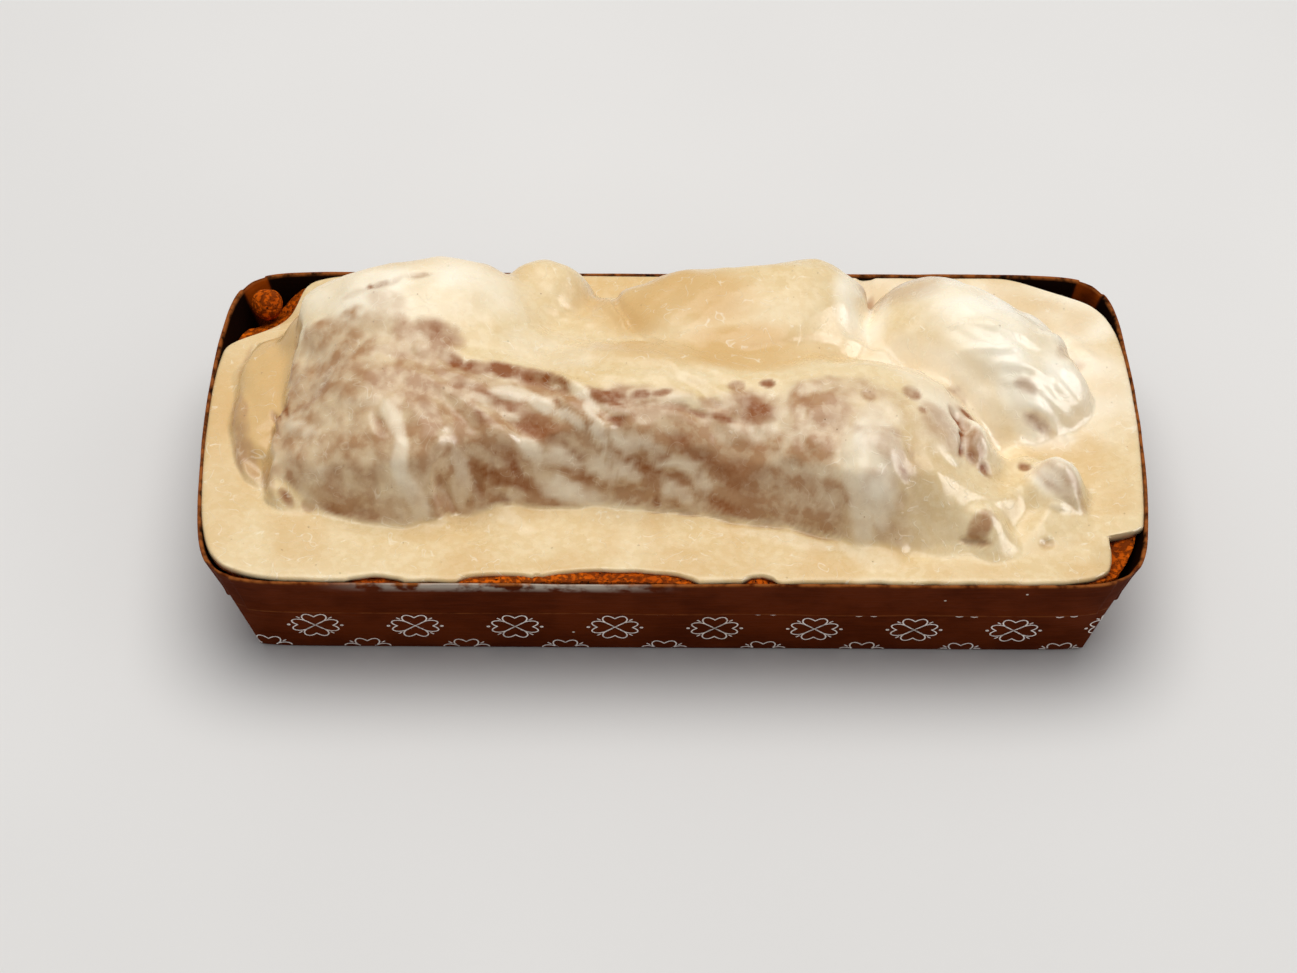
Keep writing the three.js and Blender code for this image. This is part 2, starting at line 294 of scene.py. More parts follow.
# %% [markdown]
# ### The shelf and the skin of the crown
# The shelf hangs a little towards the ends, and two of its corners are hollow. The skin of the crown
# is lumpy, and its front is torn into slanting ridges, because the crust burst there while the loaf
# rose. Waves that bend and lean give both by a rule.

# %% The shelf, the hollows and the skin
SHELF_HEIGHT = 33.4
FILM = 1.75  # the coat on the shelf is this thick
GAP = 0.35  # between paper, cake and coat, so that no two of their faces fall together
LIFT = 0.1  # where the edge of the coat is pushed back, its underside rises by this share of the push
HOLLOWS = [(-107, 46, 3, 12), (110, -46, 2, 9)]  # x, y, depth, reach
LUMP_RISE, LUMP_LENGTH, LUMP_WIDTH = 0.8, 19, 13  # the broad lumps
LUMP_LEAN, LUMP_BEND, LUMP_BEND_LENGTH = 0.4, 5, 37
CRAG_MIDDLE, CRAG_REACH = (-20, -17), (66, 28)  # where the front is torn
CRAG_RISE, CRAG_SPACING, CRAG_SLANT = 1.1, 7.5, math.radians(-24)
CRAG_WANDER, CRAG_WANDER_LENGTH, CRAG_WANDER_LEAN = 2.2, 31, 0.6
SKIN_SHOWING = 0.3  # the share of the skin's relief that shows through the coat
HIDDEN_SINK = 1.8  # under the crown's coat the cake lies lower by this much


def shelf_level(x, y):
    towards_end = ramp(np.abs(x), 84, 114)
    back_drop = np.where(x < 0, 3.6, 0.9)
    return SHELF_HEIGHT - 0.8 * towards_end - back_drop * towards_end * ramp(y, 12, 52)


def hollow_depth(x, y):
    depths = 0
    for cx, cy, depth, reach in HOLLOWS:
        depths = depths + depth * np.maximum(1 - ((x - cx) ** 2 + (y - cy) ** 2) / reach**2, 0) ** 2
    return depths


def wave(distance, length):
    return np.sin(2 * math.pi * distance / length)


def oval(x, y, middle, reach):
    """1 in the middle of an oval and 0 outside it."""
    share = ((x - middle[0]) / reach[0]) ** 2 + ((y - middle[1]) / reach[1]) ** 2
    return np.maximum(1 - share, 0)


def skin_relief(x, y):
    bent = x + LUMP_BEND * wave(y, LUMP_BEND_LENGTH) + LUMP_LEAN * y
    lumps = LUMP_RISE * wave(y - LUMP_LEAN * x, LUMP_WIDTH) * wave(bent, LUMP_LENGTH)
    wander = CRAG_WANDER * wave(x + CRAG_WANDER_LEAN * y, CRAG_WANDER_LENGTH)
    across = y * math.cos(CRAG_SLANT) - x * math.sin(CRAG_SLANT) + wander
    torn = CRAG_RISE * oval(x, y, CRAG_MIDDLE, CRAG_REACH) * wave(across, CRAG_SPACING)
    return ramp(crown_height(x, y), 3, 10) * (lumps + torn)


print(f"the skin rises and falls by up to {LUMP_RISE + CRAG_RISE:.1f} mm")

# %% [markdown]
# ### Swells and ledges
# What belongs to this one loaf alone can't come from a rule, so it is listed with its place: oval
# swells and grooves, and ledges. A ledge is a small cliff along a line. It is left where the dough
# burst and one side rose over the other, or where thick icing came to a halt. Both are low beside
# the humps, so they are simply added to the height.

# %% Swells, ledges and the top of the cake
SWELLS = [  # small swells and grooves: x, y, reach along and across, turn, height
    (-51, -28, 18, 6.5, -73, -2.2),  # the channel between the left mass and the ridge
    (-61, -27, 15, 7, -75, 1.6),
    (-42, -28, 13, 5, -62, 1.4),
    (-94, -26, 11, 9, -30, 2.6),
    (-75, -30, 12, 7, -10, 1.0),
    (-78, -8, 16, 10, 20, 1.0),
    (-30, -9, 18, 3, -12, 1.0),  # the brow along the crest
    (-8, -14, 16, 3, -3, 0.8),
    (49, -37, 15, 8, -80, 2.6),  # the rounded corner of the ridge
    (51, -26, 9, 7, -60, 2.0),
    (30, -38, 24, 5, -10, 0.8),
    (58.5, -35, 13, 6, -88, -1.6),  # the groove beside it
    (65, -36, 12, 10, -10, 3.2),  # the apron
    (70.5, -16, 9, 3, -84, -2.2),  # the crevice beside the crag
    (75, -18, 9, 6.5, -80, 4.2),  # the crag
    (81, -24, 7, 10, -60, -2.0),
    (77, -41, 9, 7, -35, 4.2),  # the nub
    (85, -35, 7, 9, -40, -2.0),
    (95, -24.5, 12, 7.5, -43, 4.4),  # the knob
    (87.5, -20, 6, 8, -43, -1.8),
    (88, -12, 9, 5, -45, 1.6),
    (90, 2, 12, 7, -50, 1.3),  # folds of the right lobe
    (80, 14, 22, 3.5, -38, 0.7),
    (101, 14, 10, 5, -70, 0.9),
]


def swell_height(x, y):
    x, y = warped(x, y)
    total = 0
    for cx, cy, along_reach, across_reach, degrees, height in SWELLS:
        along, across = along_and_across(x, y, cx, cy, degrees)
        share = (along / along_reach) ** 2 + (across / across_reach) ** 2
        total = total + height * np.maximum(1 - share, 0) ** 2
    return total


MASS_EDGE = [  # x and y along the left edge of the left mass
    (-96, -32), (-100.4, -28), (-101, -23.6), (-99.7, -18), (-98.3, -12), (-99.5, -8.3),
    (-96.4, -4.3), (-97, 6.8), (-95.1, 10.2), (-94.5, 20), (-92, 32),
]
TERRACE_EDGE = [
    (-103, -25), (-107.2, -19.6), (-109.5, -11.6), (-110, -2.4), (-109.4, 7.7), (-109.6, 15),
    (-107.8, 22.4), (-106.5, 31),
]
LEDGES = [  # a line, the way it runs, its high side (1 or -1), the rise, the drop and the reach
    (MASS_EDGE, "y", 1, 3.2, 0.9, 6),
    (TERRACE_EDGE, "y", 1, 1.6, 0.3, 5),
    ([(-22, 40), (-17, 30), (-12, 18), (-2, 7.4), (10, 2)], "x", -1, 1.0, 0.5, 6),  # the pool's edge
    ([(42, 16), (48, 15), (54, 12), (59, 7), (66, -2), (71, -8)], "x", -1, 1.0, 0.5, 6),
    ([(46, 18), (49, 30), (51, 46)], "y", -1, 1.2, 1.0, 6),  # the end of the back slab
]
LEDGE_SOFTNESS = 0.16  # as a share of the reach


def ledge_distance(line, way, high_side, x, y):
    """How far each place lies on the high side of a wandering line, and a fade to 0 past its ends."""
    place = stack(x, y, 0)
    wander = 0.9 * noise(place, 7, 71) + 0.8 * noise(place, 3.4, 72) + 0.2 * noise(place, 1.8, 73)
    line_x, line_y = np.array(line).T
    if way == "x":
        run, starts, distance = x, line_x, y - np.interp(x, line_x, line_y)
    else:
        run, starts, distance = y, line_y, x - np.interp(y, line_y, line_x)
    fade = ramp(run, starts[0], starts[0] + 5) * ramp(run, starts[-1], starts[-1] - 5)
    return high_side * (distance + wander), fade


def ledge_height(x, y):
    """Small cliffs with wandering edges: high on one side of a line, low on the other, soft beyond."""
    total = 0
    for line, way, high_side, rise, drop, reach in LEDGES:
        distance, fade = ledge_distance(line, way, high_side, x, y)
        above = ramp(distance, -LEDGE_SOFTNESS * reach, LEDGE_SOFTNESS * reach)
        high = rise * above * np.exp(-((distance / reach) ** 2))
        low = drop * (1 - above) * np.exp(-((1.6 * distance / reach) ** 2))
        total = total + fade * (high - low)
    return total


def cake_top(x, y):
    """The cake under the icing. Where nobody sees it, it lies low enough for any dent in the coat."""
    crown = crown_height(x, y)
    swollen = crown + swell_height(x, y) + ledge_height(x, y) - HIDDEN_SINK * ramp(crown, 0.1, 2)
    return shelf_level(x, y) - FILM - hollow_depth(x, y) + swollen


def cake_plan(u, v):
    """The plan of the cake's top, inside the paper; where its edge lies lower it lies further in."""
    insets = {
        "end_inset": WALL + 0.5,
        "side_inset": WALL + GAP,
        "extra_cut": blend(1.2, 3.2, (v + 1) / 2),
        "roundness": 1.3,
    }
    rim_point = case_point(u, v, 1, **insets)
    edge_height = shelf_level(*rim_point) - hollow_depth(*rim_point) - FILM
    return case_point(u, v, edge_height / CASE_HEIGHT, **insets)


print(f"the shelf lies {CASE_HEIGHT - SHELF_HEIGHT:.1f} mm under the rim")

# %% [markdown]
# ## The icing
# The icing is one thick skin. It could be cut from the cake's mesh with a Solidify modifier, but a
# poured coat isn't even: it fills creases, thins on steep faces and rolls over at its edge. So its
# top is worked out point by point, over the same plan as the cake. Where it has not quite reached
# the paper, its edge is pushed back and the crust shows: in the back corners, in a few bites along
# the front and in a notch at the front right.

# %% The plan of the icing
BARE_CORNERS = [  # x, y, then the reach along and across, and how far the edge stands back
    (-117, 50, 24, 24, 10, -9.5),
    (106, 56, 20, 12, -0.3, -3.0),
    (-117, -54, 16, 16, -0.9, -0.7),  # at the front left it reaches the rim
]
NOTCH_Y = [-57, -52, -47, -43.5, -40.5, -38.6, -37.2, -35.5]  # along the right end
NOTCH_DEPTH = [3.0, 4.4, 7.0, 9.0, 10.6, 11.2, 3.0, 0]  # how far in the edge lies there
NOTCH_FADE = 34  # at this distance from the end nothing is pushed any more
FRONT_BITES = [(-42, 10, 2.2), (-14, 20, 3.8), (21, 4, 2.0), (-72, 7, 1.4)]  # x, half width, depth
BITE_FADE = 14  # a bite in the front edge has died away at this distance from it
EDGE_WAVER = 0.35
END_REACH, SIDE_REACH = 1.6, 0.5  # the icing spreads this much further than the cake, to the paper


def icing_plan(u, v):
    x, y = cake_plan(u, v)
    push_x, push_y = 0, 0
    for cx, cy, along, across, by_x, by_y in BARE_CORNERS:
        push = oval(x, y, (cx, cy), (along, across)) ** 2
        push_x, push_y = push_x + push * by_x, push_y + push * by_y
    from_front = y + RIM_WIDTH / 2 - WALL - GAP
    near_front = np.clip(1 - from_front / BITE_FADE, 0, 1) ** 2
    for cx, half_width, depth in FRONT_BITES:
        share = np.maximum(1 - ((x - cx) / half_width) ** 2, 0)
        push_y = push_y + depth * np.sqrt(share) * near_front
    near_right = np.clip(1 - (case_high.x / MM - x) / NOTCH_FADE, 0, 1) ** 2
    push_x = push_x - np.interp(y, NOTCH_Y, NOTCH_DEPTH) * near_right
    waver = EDGE_WAVER * (1 + noise(stack(x, 0, 0), 4.5, 7)) * near_front
    reach_end = END_REACH * np.sign(x) * ramp(np.abs(x), 104, 112)
    reach_side = SIDE_REACH * np.sign(y) * ramp(np.abs(y), 44, 52)
    return x + push_x + reach_end, y + push_y + waver + reach_side


print(f"{len(BARE_CORNERS)} corners and {len(FRONT_BITES)} bites in the front edge")

# %% [markdown]
# ### The top of the icing
# The coat follows the crown, but softer, because thick icing fills what is sharp. First comes the
# smooth coat alone. The directions straight out of it are kept, because finer relief is added along
# them. On a steep face a lump would otherwise be smeared upwards.

# %% The top of the icing, as a smooth coat
ICING_COLUMNS, ICING_ROWS = 436, 200
EDGE_DROP, EDGE_ROLL = 0.8, 1.6  # the edge rolls over by this much, over this distance
END_BRIM = 0.9  # at both ends the icing stands this much higher, up to the rim


def edge_distance(u, v):
    from_end = (1 - np.abs(u)) * RIM_LENGTH / 2
    from_side = (1 - np.abs(v)) * RIM_WIDTH / 2
    return np.minimum(from_end, from_side)


def normals_of(points):
    """The direction straight out of a grid of points, at each of them."""
    along, across = np.gradient(points, axis=1), np.gradient(points, axis=0)
    out = np.cross(along, across)
    return out / np.linalg.norm(out, axis=-1, keepdims=True)


def smooth_coat(u, v):
    x, y = icing_plan(u, v)
    level = shelf_level(x, y) - hollow_depth(x, y) + soft_crown_height(x, y)
    carved = swell_height(x, y) + ledge_height(x, y)
    brim = END_BRIM * ramp(np.abs(x), 98, 113)
    showing = level + SKIN_SHOWING * skin_relief(x, y) + carved + brim
    roll = np.clip(1 - edge_distance(u, v) / EDGE_ROLL, 0, 1)
    return stack(x, y, showing - EDGE_DROP * (1 - np.sqrt(1 - roll**2)))


icing_u, icing_v = grid(ICING_COLUMNS, ICING_ROWS, 0.3)
coat = smooth_coat(icing_u, icing_v)
coat_normals = normals_of(coat)
print(f"the coat reaches z {coat[..., 2].max():.1f} mm")

# %% [markdown]
# ### Where the coat is thin
# White icing over a brown crust looks cream where it lies thick, mauve-grey where it is thin on a
# steep face, and rusty where a sharp crag nearly pokes through. The same numbers can serve twice:
# they lift the surface a little and they are kept as attributes, which the material reads later. So
# colour and relief always agree. The marks are small ovals where this loaf has a fold, a dent, a
# thin place or a rusty streak. Where each one lies was read off the photograph and carried onto the
# coat with the camera at the end of this script, and its strengths were judged. A veil makes the
# coat thin there, and a negative veil makes it thick and white. Some marks are painted light: dark
# ones in the hollows, along the foot of the ridge and under the nub are painted shade, and white
# ones on the knob, the crag, the nub, the corner of the ridge and the shelf behind the lobe are
# painted highlights.

# %% Folds, dents, veils and rusty streaks
MARKS = [  # x, y, reach along and across, turn, then lift in millimetres, veil and rust
    # the brown patch on the left mass, and the streak that runs on from it
    (-57.8, 3.3, 8.2, 4.2, -29, 0.25, 0.8, 0.55),  # a brown patch
    (-56.0, 2.2, 2.7, 1.6, -30, -0.1, 0, 0.6),
    (-61.4, 5.3, 1.7, 1.1, -46, -0.05, 0, 0.7),
    (-53.7, 4.4, 1.7, 1.2, -41, -0.05, 0, 0.6),
    (-54.7, -4.5, 4.9, 2.4, -23, -0.2, 0.6, 0.9),
    (-48.7, -6.0, 5.7, 2.6, 6, -0.2, 0.6, 0.9),
    (-41.8, -5.6, 6.5, 2.9, -6, -0.25, 0.6, 1),
    (-34.1, -7.6, 6.8, 2.5, -21, -0.25, 0.6, 1),
    (-27.0, -11.6, 6.1, 1.8, -40, -0.2, 0.5, 0.9),
    (-50.5, -12.1, 5.2, 1.2, 5, -0.2, 0.4, 0.4),
    (-60.2, -18.3, 5.6, 2.9, -43, -0.15, 0.6, 0.35),
    (-47.0, -20.5, 3.9, 1.9, -38, -0.2, 0.7, 0.8),
    # brown streaks on the front of the ridge
    (-14.8, -15.4, 5.7, 1.9, -11, -0.2, 0.83, 0.95),
    (-8.5, -15.5, 4.3, 1.4, 8, -0.2, 0.82, 0.9),
    (-2.8, -14.6, 3.8, 1.2, 10, -0.2, 0.76, 0.7),
    (-13.2, -21.5, 4.1, 1.4, -3, -0.2, 0.81, 0.85),
    (1.1, -17.8, 4.3, 1.8, 6, -0.2, 0.73, 0.6),
    (6.0, -18.3, 4.2, 1.0, -7, -0.2, 0.78, 0.75),
    (12.1, -19.2, 4.5, 1.1, -9, -0.2, 0.76, 0.7),
    (8.8, -15.6, 3.8, 1.9, -10, -0.2, 0.7, 0.5),
    (20.2, -17.0, 8.2, 4.7, -22, -0.2, 0.79, 0.8),
    (20.5, -19.1, 5.4, 2.8, -33, -0.2, 0.73, 0.6),
    (32.2, -16.8, 3.4, 1.8, -64, -0.2, 0.72, 0.55),
    (47.3, -14.2, 2.9, 2.0, -38, -0.2, 0.79, 0.8),
    (2.7, -24.6, 6.2, 2.1, -5, -0.2, 0.76, 0.7),
    (-8.0, -26.0, 3.6, 0.8, -9, -0.2, 0.76, 0.7),
    (-3.0, -26.6, 3.3, 0.8, -5, -0.2, 0.78, 0.75),
    (7.6, -26.7, 4.9, 0.8, 3, -0.2, 0.7, 0.5),
    (-4.6, -28.1, 4.0, 0.9, -7, -0.2, 0.75, 0.65),
    (1.2, -28.7, 3.6, 0.9, -5, -0.2, 0.72, 0.55),
    (6.0, -28.1, 1.7, 0.6, 10, -0.2, 0.79, 0.8),
    (-4.4, -30.1, 1.6, 0.7, -17, -0.2, 0.79, 0.8),
    (-9.9, -28.6, 3.9, 0.5, -8, -0.2, 0.72, 0.55),
    (18.2, -33.1, 6.0, 1.9, -16, -0.2, 0.63, 0.28),
    (-41.0, -15.9, 4.7, 2.5, -15, -0.2, 0.79, 0.8),
    (-34.8, -21.0, 5.6, 2.3, -33, -0.2, 0.75, 0.65),
    (-28.9, -24.0, 4.7, 1.2, -15, -0.2, 0.75, 0.65),
    (-24.9, -25.2, 5.0, 0.9, -6, -0.2, 0.78, 0.75),
    (-27.1, -18.9, 4.0, 1.5, -27, -0.2, 0.81, 0.85),
    (-21.7, -22.3, 4.9, 1.0, -32, -0.2, 0.75, 0.65),
    (-28.4, -16.3, 3.1, 1.2, -64, -0.2, 0.78, 0.75),
    (-41.9, -25.8, 3.2, 0.9, 5, -0.2, 0.79, 0.8),
    (-40.4, -26.4, 4.2, 1.4, -10, -0.2, 0.76, 0.7),
    (-38.6, -27.0, 3.4, 1.1, -14, -0.2, 0.79, 0.8),
    (-46.9, -19.6, 1.9, 1.1, -14, -0.2, 0.79, 0.8),
    (-46.2, -21.4, 2.8, 1.1, -16, -0.2, 0.76, 0.7),
    (-44.1, -28.3, 2.8, 1.5, -66, -0.2, 0.66, 0.35),
    (-41.9, -29.9, 2.8, 0.9, -18, -0.2, 0.67, 0.4),
    (15.2, -10.5, 2.9, 2.1, -2, -0.2, 0.82, 0.9),
    (23.4, -9.4, 2.5, 1.6, -1, -0.2, 0.82, 0.9),
    (40.7, -23.7, 6.7, 4.0, -30, -0.2, 0.62, 0.25),
    (31.8, -34.3, 6.4, 2.0, -25, -0.2, 0.6, 0.15),
    (33.3, -29.8, 7.4, 3.3, -31, -0.2, 0.6, 0.15),
    # pale folds between them
    (-40.1, -12.6, 6.2, 3.2, -3, 0.45, -1, 0),
    (-33.3, -14.9, 6.5, 2.3, -35, 0.5, -1, 0),
    (-25.8, -19.9, 6.4, 1.4, -32, 0.45, -0.9, 0),
    (-18.4, -24.2, 4.6, 1.0, -28, 0.45, -1, 0),
    (-11.8, -26.7, 5.1, 1.3, -15, 0.4, -0.9, 0),
    (-22.8, -14.2, 4.7, 2.0, -50, 0.4, -1, 0),
    (-20.4, -19.0, 4.5, 1.9, -74, 0.45, -1, 0),
    (-18.0, -23.1, 3.7, 1.4, -50, 0.4, -0.9, 0),
    (-35.4, -24.5, 5.1, 1.8, -15, 0.4, -0.9, 0),
    (-26.7, -25.7, 6.9, 1.2, -5, 0.4, -0.9, 0),
    (-17.2, -26.9, 5.3, 1.0, -11, 0.35, -0.8, 0),
    (-39.5, -18.7, 3.1, 1.3, -8, 0.3, -0.7, 0),
    (-11.3, -24.4, 5.8, 1.2, -5, 0.35, -0.8, 0),
    (-6.6, -24.7, 5.6, 1.2, -15, 0.3, -0.6, 0),
    (19.0, -22.7, 11.5, 2.6, -9, 0.2, -0.45, 0),
    (1.4, -27.3, 7.7, 0.7, -1, 0.3, -0.7, 0),
    (1.0, -30.0, 5.2, 1.2, -8, 0.35, -0.75, 0),
    (6.5, -29.3, 3.5, 1.5, -16, 0.3, -0.6, 0),
    (43.8, -31.9, 10.2, 3.6, -80, 0.4, -0.9, 0),
    (45.9, -40.4, 5.6, 3.6, -65, 0.4, -0.8, 0),
    (-24.7, -28.6, 11.8, 1.7, -2, 0.2, -0.9, 0),
    (-46.8, -14.9, 4.1, 1.8, -1, 0.2, -0.5, 0),
    (-14.8, -18.9, 5.4, 1.5, -9, 0.25, -0.7, 0),
    (2.3, -15.7, 5.2, 1.3, -3, 0.2, -0.5, 0),
    (13.3, -23.1, 6.0, 1.4, -4, 0.2, -0.4, 0),
    (-13.4, -27.1, 3.3, 0.7, -10, 0.2, -0.5, 0),
    # the crease along its foot, darkened as a painted shade line
    (-4.7, -31.3, 4.4, 0.7, -8, -0.5, 0.35, 0.25),
    (3.0, -32.2, 5.3, 0.8, -5, -0.5, 0.35, 0.25),
    (12.6, -34.3, 6.8, 0.8, -17, -0.5, 0.35, 0.25),
    (23.1, -36.7, 6.2, 0.9, -8, -0.5, 0.35, 0.25),
    (34.3, -39.4, 7.6, 0.8, -17, -0.5, 0.35, 0.25),
    (-12.5, -28.5, 2.2, 0.5, -8, -0.5, 0.35, 0.25),
    # by the corner of the ridge
    (58.4, -11.3, 2.8, 2.4, -20, -0.1, 0.4, 0.8),
    (60.6, -16.2, 1.9, 1.5, -43, 0, 0, 0.6),
    (52.9, -30.9, 8.7, 4.6, -34, 0.45, 0.5, 0.1),  # the mauve lump
    (54.0, -25.2, 2.5, 1.8, 12, -0.3, 0.3, 0.45),
    (57.7, -29.0, 2.9, 1.3, -66, -0.5, 0.2, 0.4),
    (55.3, -34.0, 2.5, 1.6, -16, -0.25, 0.3, 0.45),
    (53.0, -18.9, 5.8, 3.3, -56, 0.25, -0.7, 0),
    (51.4, -38.1, 2.9, 1.9, -37, 0.4, -0.5, 0),
    (55.2, -37.8, 1.9, 1.4, -6, -0.3, 0.4, 0.4),
    # the left mass
    (-68.4, -21.6, 7.6, 2.5, -69, 0.42, -0.8, 0),  # a fold that runs down to the foot
    (-66.4, -29.4, 5.9, 2.9, -83, 0.6, -1, 0),
    (-63.2, -33.7, 5.1, 2.1, -21, 0.72, -0.9, 0),
    (-57.9, -34.8, 4.5, 2.1, -1, 0.72, -0.35, 0),
    (-71.8, -22.3, 4.1, 1.7, -71, -0.48, 0.5, 0.5),
    (-72.9, -32.2, 2.4, 1.1, -28, -0.36, 0.3, 0.3),
    # The two hollows below are darkened as painted shade.
    (-56.5, -31.0, 3.6, 1.3, 21, -0.96, 0.1, 0.3),  # two hollows
    (-47.9, -28.7, 2.9, 1.5, -25, -0.9, 0.3, 0.45),
    (-51.9, -27.7, 3.4, 2.3, -38, 0.54, -0.8, 0),
    (-53.0, -29.9, 2.4, 1.3, -17, 0.42, -0.6, 0),
    (-78.4, -3.7, 12.5, 5.2, -52, -0.24, 0.4, 0.25),
    (-87.1, -5.9, 14.8, 4.8, -38, -0.18, 0.4, 0.2),
    (-73.7, -15.7, 9.5, 2.5, -12, 0.24, -0.4, 0),
    (-92.3, -21.5, 5.7, 2.8, -77, 0.3, 0.3, 0.1),
    (-91.8, -16.0, 7.1, 2.0, -38, 0.36, -0.7, 0),
    (-87.8, -27.6, 5.3, 1.5, -6, 0.24, -0.4, 0),
    (-83.5, -29.0, 3.8, 1.7, -30, -0.24, 0.4, 0.3),
    (-82.9, -31.5, 3.9, 2.1, -32, 0.3, 0.4, 0.15),
    (-95.5, -29.5, 3.3, 1.7, -46, -0.36, 0.4, 0.6),
    (-89.6, -31.1, 2.4, 1.4, -30, -0.3, 0.4, 0.5),
    (-83.8, -32.5, 4.6, 1.1, -21, -0.24, 0.5, 0.4),
    (-76.6, -34.6, 5.2, 1.2, -14, -0.24, 0.5, 0.35),
    (-100.4, -23.2, 6.2, 2.0, -74, 0.18, 0.4, 0.2),
    (-99.3, -6.0, 4.0, 1.2, -65, -0.48, 0.3, 0.6),
    (-99.4, -11.2, 3.7, 0.9, -70, -0.36, 0.3, 0.4),
    (-64.0, -31.5, 3.5, 1.2, -9, -0.18, 0.4, 0.1),
    (-63.3, 1.1, 6.4, 3.3, -56, 0.24, -0.4, 0),
    (-71.2, 12.1, 8.3, 4.6, -40, 0.12, 0.35, 0),
    (-89.9, 11.2, 6.8, 1.8, -34, 0.24, -0.2, 0),
    (-73.3, 18.3, 4.4, 1.6, 3, -0.3, 0.1, 0.35),
    (-69.4, 19.8, 3.1, 1.3, 45, -0.3, 0.1, 0.35),
    (-64.7, 21.1, 5.0, 1.4, 0, -0.3, 0.1, 0.35),
    (-79.3, 17.4, 4.5, 1.5, 6, -0.24, 0.1, 0.25),
    (-75.5, 18.6, 1.3, 1.0, -54, -0.12, 0, 0.8),
    # the terrace
    (-108.9, -2.3, 11.4, 2.9, -78, 0.18, 0.6, 0.05),
    (-105.8, -15.3, 8.5, 3.1, -66, 0.18, 0.6, 0.05),
    (-109.6, 24.0, 5.9, 1.0, 80, -0.24, 0, 0.3),
    (-110.5, 16.9, 3.6, 1.4, 90, -0.24, 0, 0.3),
    # crag, nub, knob and lobe on the right
    # The crevice is dark brown: crust in the crack, darkened further as painted shade.
    (69.7, -12.8, 3.1, 2.7, -51, -0.9, 0.3, 0.9),  # the crevice beside the crag
    (70.9, -14.4, 3.1, 2.0, -61, -1.2, 0.3, 1),
    (70.8, -18.2, 4.1, 0.8, 76, -1.2, 0.3, 1),
    (69.9, -22.9, 2.6, 0.9, 84, -1, 0.3, 0.9),
    (72.8, -9.4, 3.9, 3.6, 10, -0.3, 0.2, 0.9),
    (73.6, -20.8, 5.5, 3.6, -85, 0.3, 0.8, 0.3),  # the crag
    (72.8, -23.7, 2.7, 2.0, -23, -0.5, 0.4, 0.7),
    (76.4, -20.3, 3.1, 2.1, -67, 0.9, -0.4, 0),
    (76.1, -25.0, 2.6, 2.1, -16, -0.3, 0.3, 0.8),
    (65.3, -19.2, 9.0, 5.8, -55, 0.3, 0.5, 0.1),
    (88.5, 0.3, 4.4, 1.7, -7, -0.4, 0.3, 0.4),
    (91.7, -4.3, 4.8, 1.1, 5, -0.5, 0.3, 0.5),
    (92.2, -2.6, 4.1, 1.2, 8, 0.5, -0.4, 0),
    (95.4, -27.5, 9.1, 3.9, -34, 0.4, 0.6, 0.05),
    (87.2, -19.9, 2.4, 1.8, -61, -0.4, 0.3, 0.6),
    (94.9, -25.4, 4.4, 1.7, -35, 0.7, -0.5, 0),
    (97.5, -30.8, 3.6, 1.0, -5, 0.5, -0.4, 0),
    (74.8, -41.5, 4.5, 3.2, 24, 0.4, 0.95, 0.1),  # the nub
    # The dark line under the nub is a painted shadow.
    (73.7, -43.8, 5.2, 0.8, -12, -1, 0.6, 0.3),
    (75.5, -39.3, 4.1, 2.8, -39, 0.9, -0.2, 0),
    (91.5, -42.1, 2.2, 1.8, -14, -0.9, 0.3, 0.1),
    (59.4, 35.6, 13.5, 12.1, -56, 0.3, 0.35, 0),
    (50.1, 39.0, 10.0, 2.3, 73, 0.5, 0.7, 0.25),
    (101.3, 17.3, 8.9, 3.2, 60, -0.5, 0.3, 0.25),
    (70.5, -1.7, 3.2, 3.2, -7, -0.3, 0, 0.6),
    # flow folds of the lobe
    (76.9, 11.2, 11.0, 2.3, -33, 0.5, 0, 0),
    (90.8, 5.6, 9.3, 2.9, -9, 0.5, 0, 0),
    (92.0, 30.0, 19.5, 10.8, 29, 0.4, 0, 0),
    (103.8, 31.0, 8.1, 3.0, -49, 0.6, 0, 0),
    (105.6, 27.8, 6.3, 2.5, -50, 0.7, -0.2, 0),
    (103.6, 7.2, 8.1, 7.2, 8, 0.7, 0, 0),
    (101.2, 2.4, 5.6, 1.6, 13, 0.6, 0, 0),
    (99.2, -3.8, 4.5, 1.8, -6, 0.7, 0, 0),
    (78.1, 1.4, 9.8, 2.7, -30, -0.6, 0, 0),
    (73.5, 18.4, 9.5, 1.9, -38, -0.3, 0, 0),
    (89.1, 10.4, 7.5, 1.6, -0, -0.4, 0, 0),
    # the crest and the back slab
    (-20.8, 6.1, 15.9, 6.5, -41, 0.4, -0.3, 0),
    (1.6, -8.5, 12.6, 2.7, -3, 0.5, -0.3, 0),
    (28.1, 4.9, 21.8, 3.7, 22, 0.4, 0, 0),
    (-26.1, 21.0, 10.3, 2.6, -15, 0.5, 0, 0),
    (-13.5, 23.2, 11.1, 2.7, -53, -0.4, 0, 0),
    (-15.4, 32.4, 17.0, 2.0, -76, -0.9, 0, 0),
    (-7.3, 10.5, 11.7, 2.1, -57, -0.9, 0, 0),
    (4.7, 2.9, 11.0, 3.9, -9, -0.7, 0, 0),
    (28.1, 7.5, 20.1, 2.2, 18, -0.5, 0, 0),
    (-18.8, 20.8, 9.8, 2.9, -62, 0.6, 0, 0),
    (-9.4, 5.6, 15.1, 4.6, -56, 0.6, 0, 0),
    (51.0, 54.9, 11.6, 2.3, -88, -0.8, 0, 0),
    # more folds of the lobe, and painted highlights on the knob, the crag, the nub and the ridge's
    # corner
    (79.1, 14.0, 14.0, 2.3, -3, 0.7, 0, 0),
    (97.9, 20.7, 13.0, 2.7, 45, 0.8, -0.3, 0),
    (82.3, 7.8, 12.7, 1.5, 1, 0.7, 0, 0),
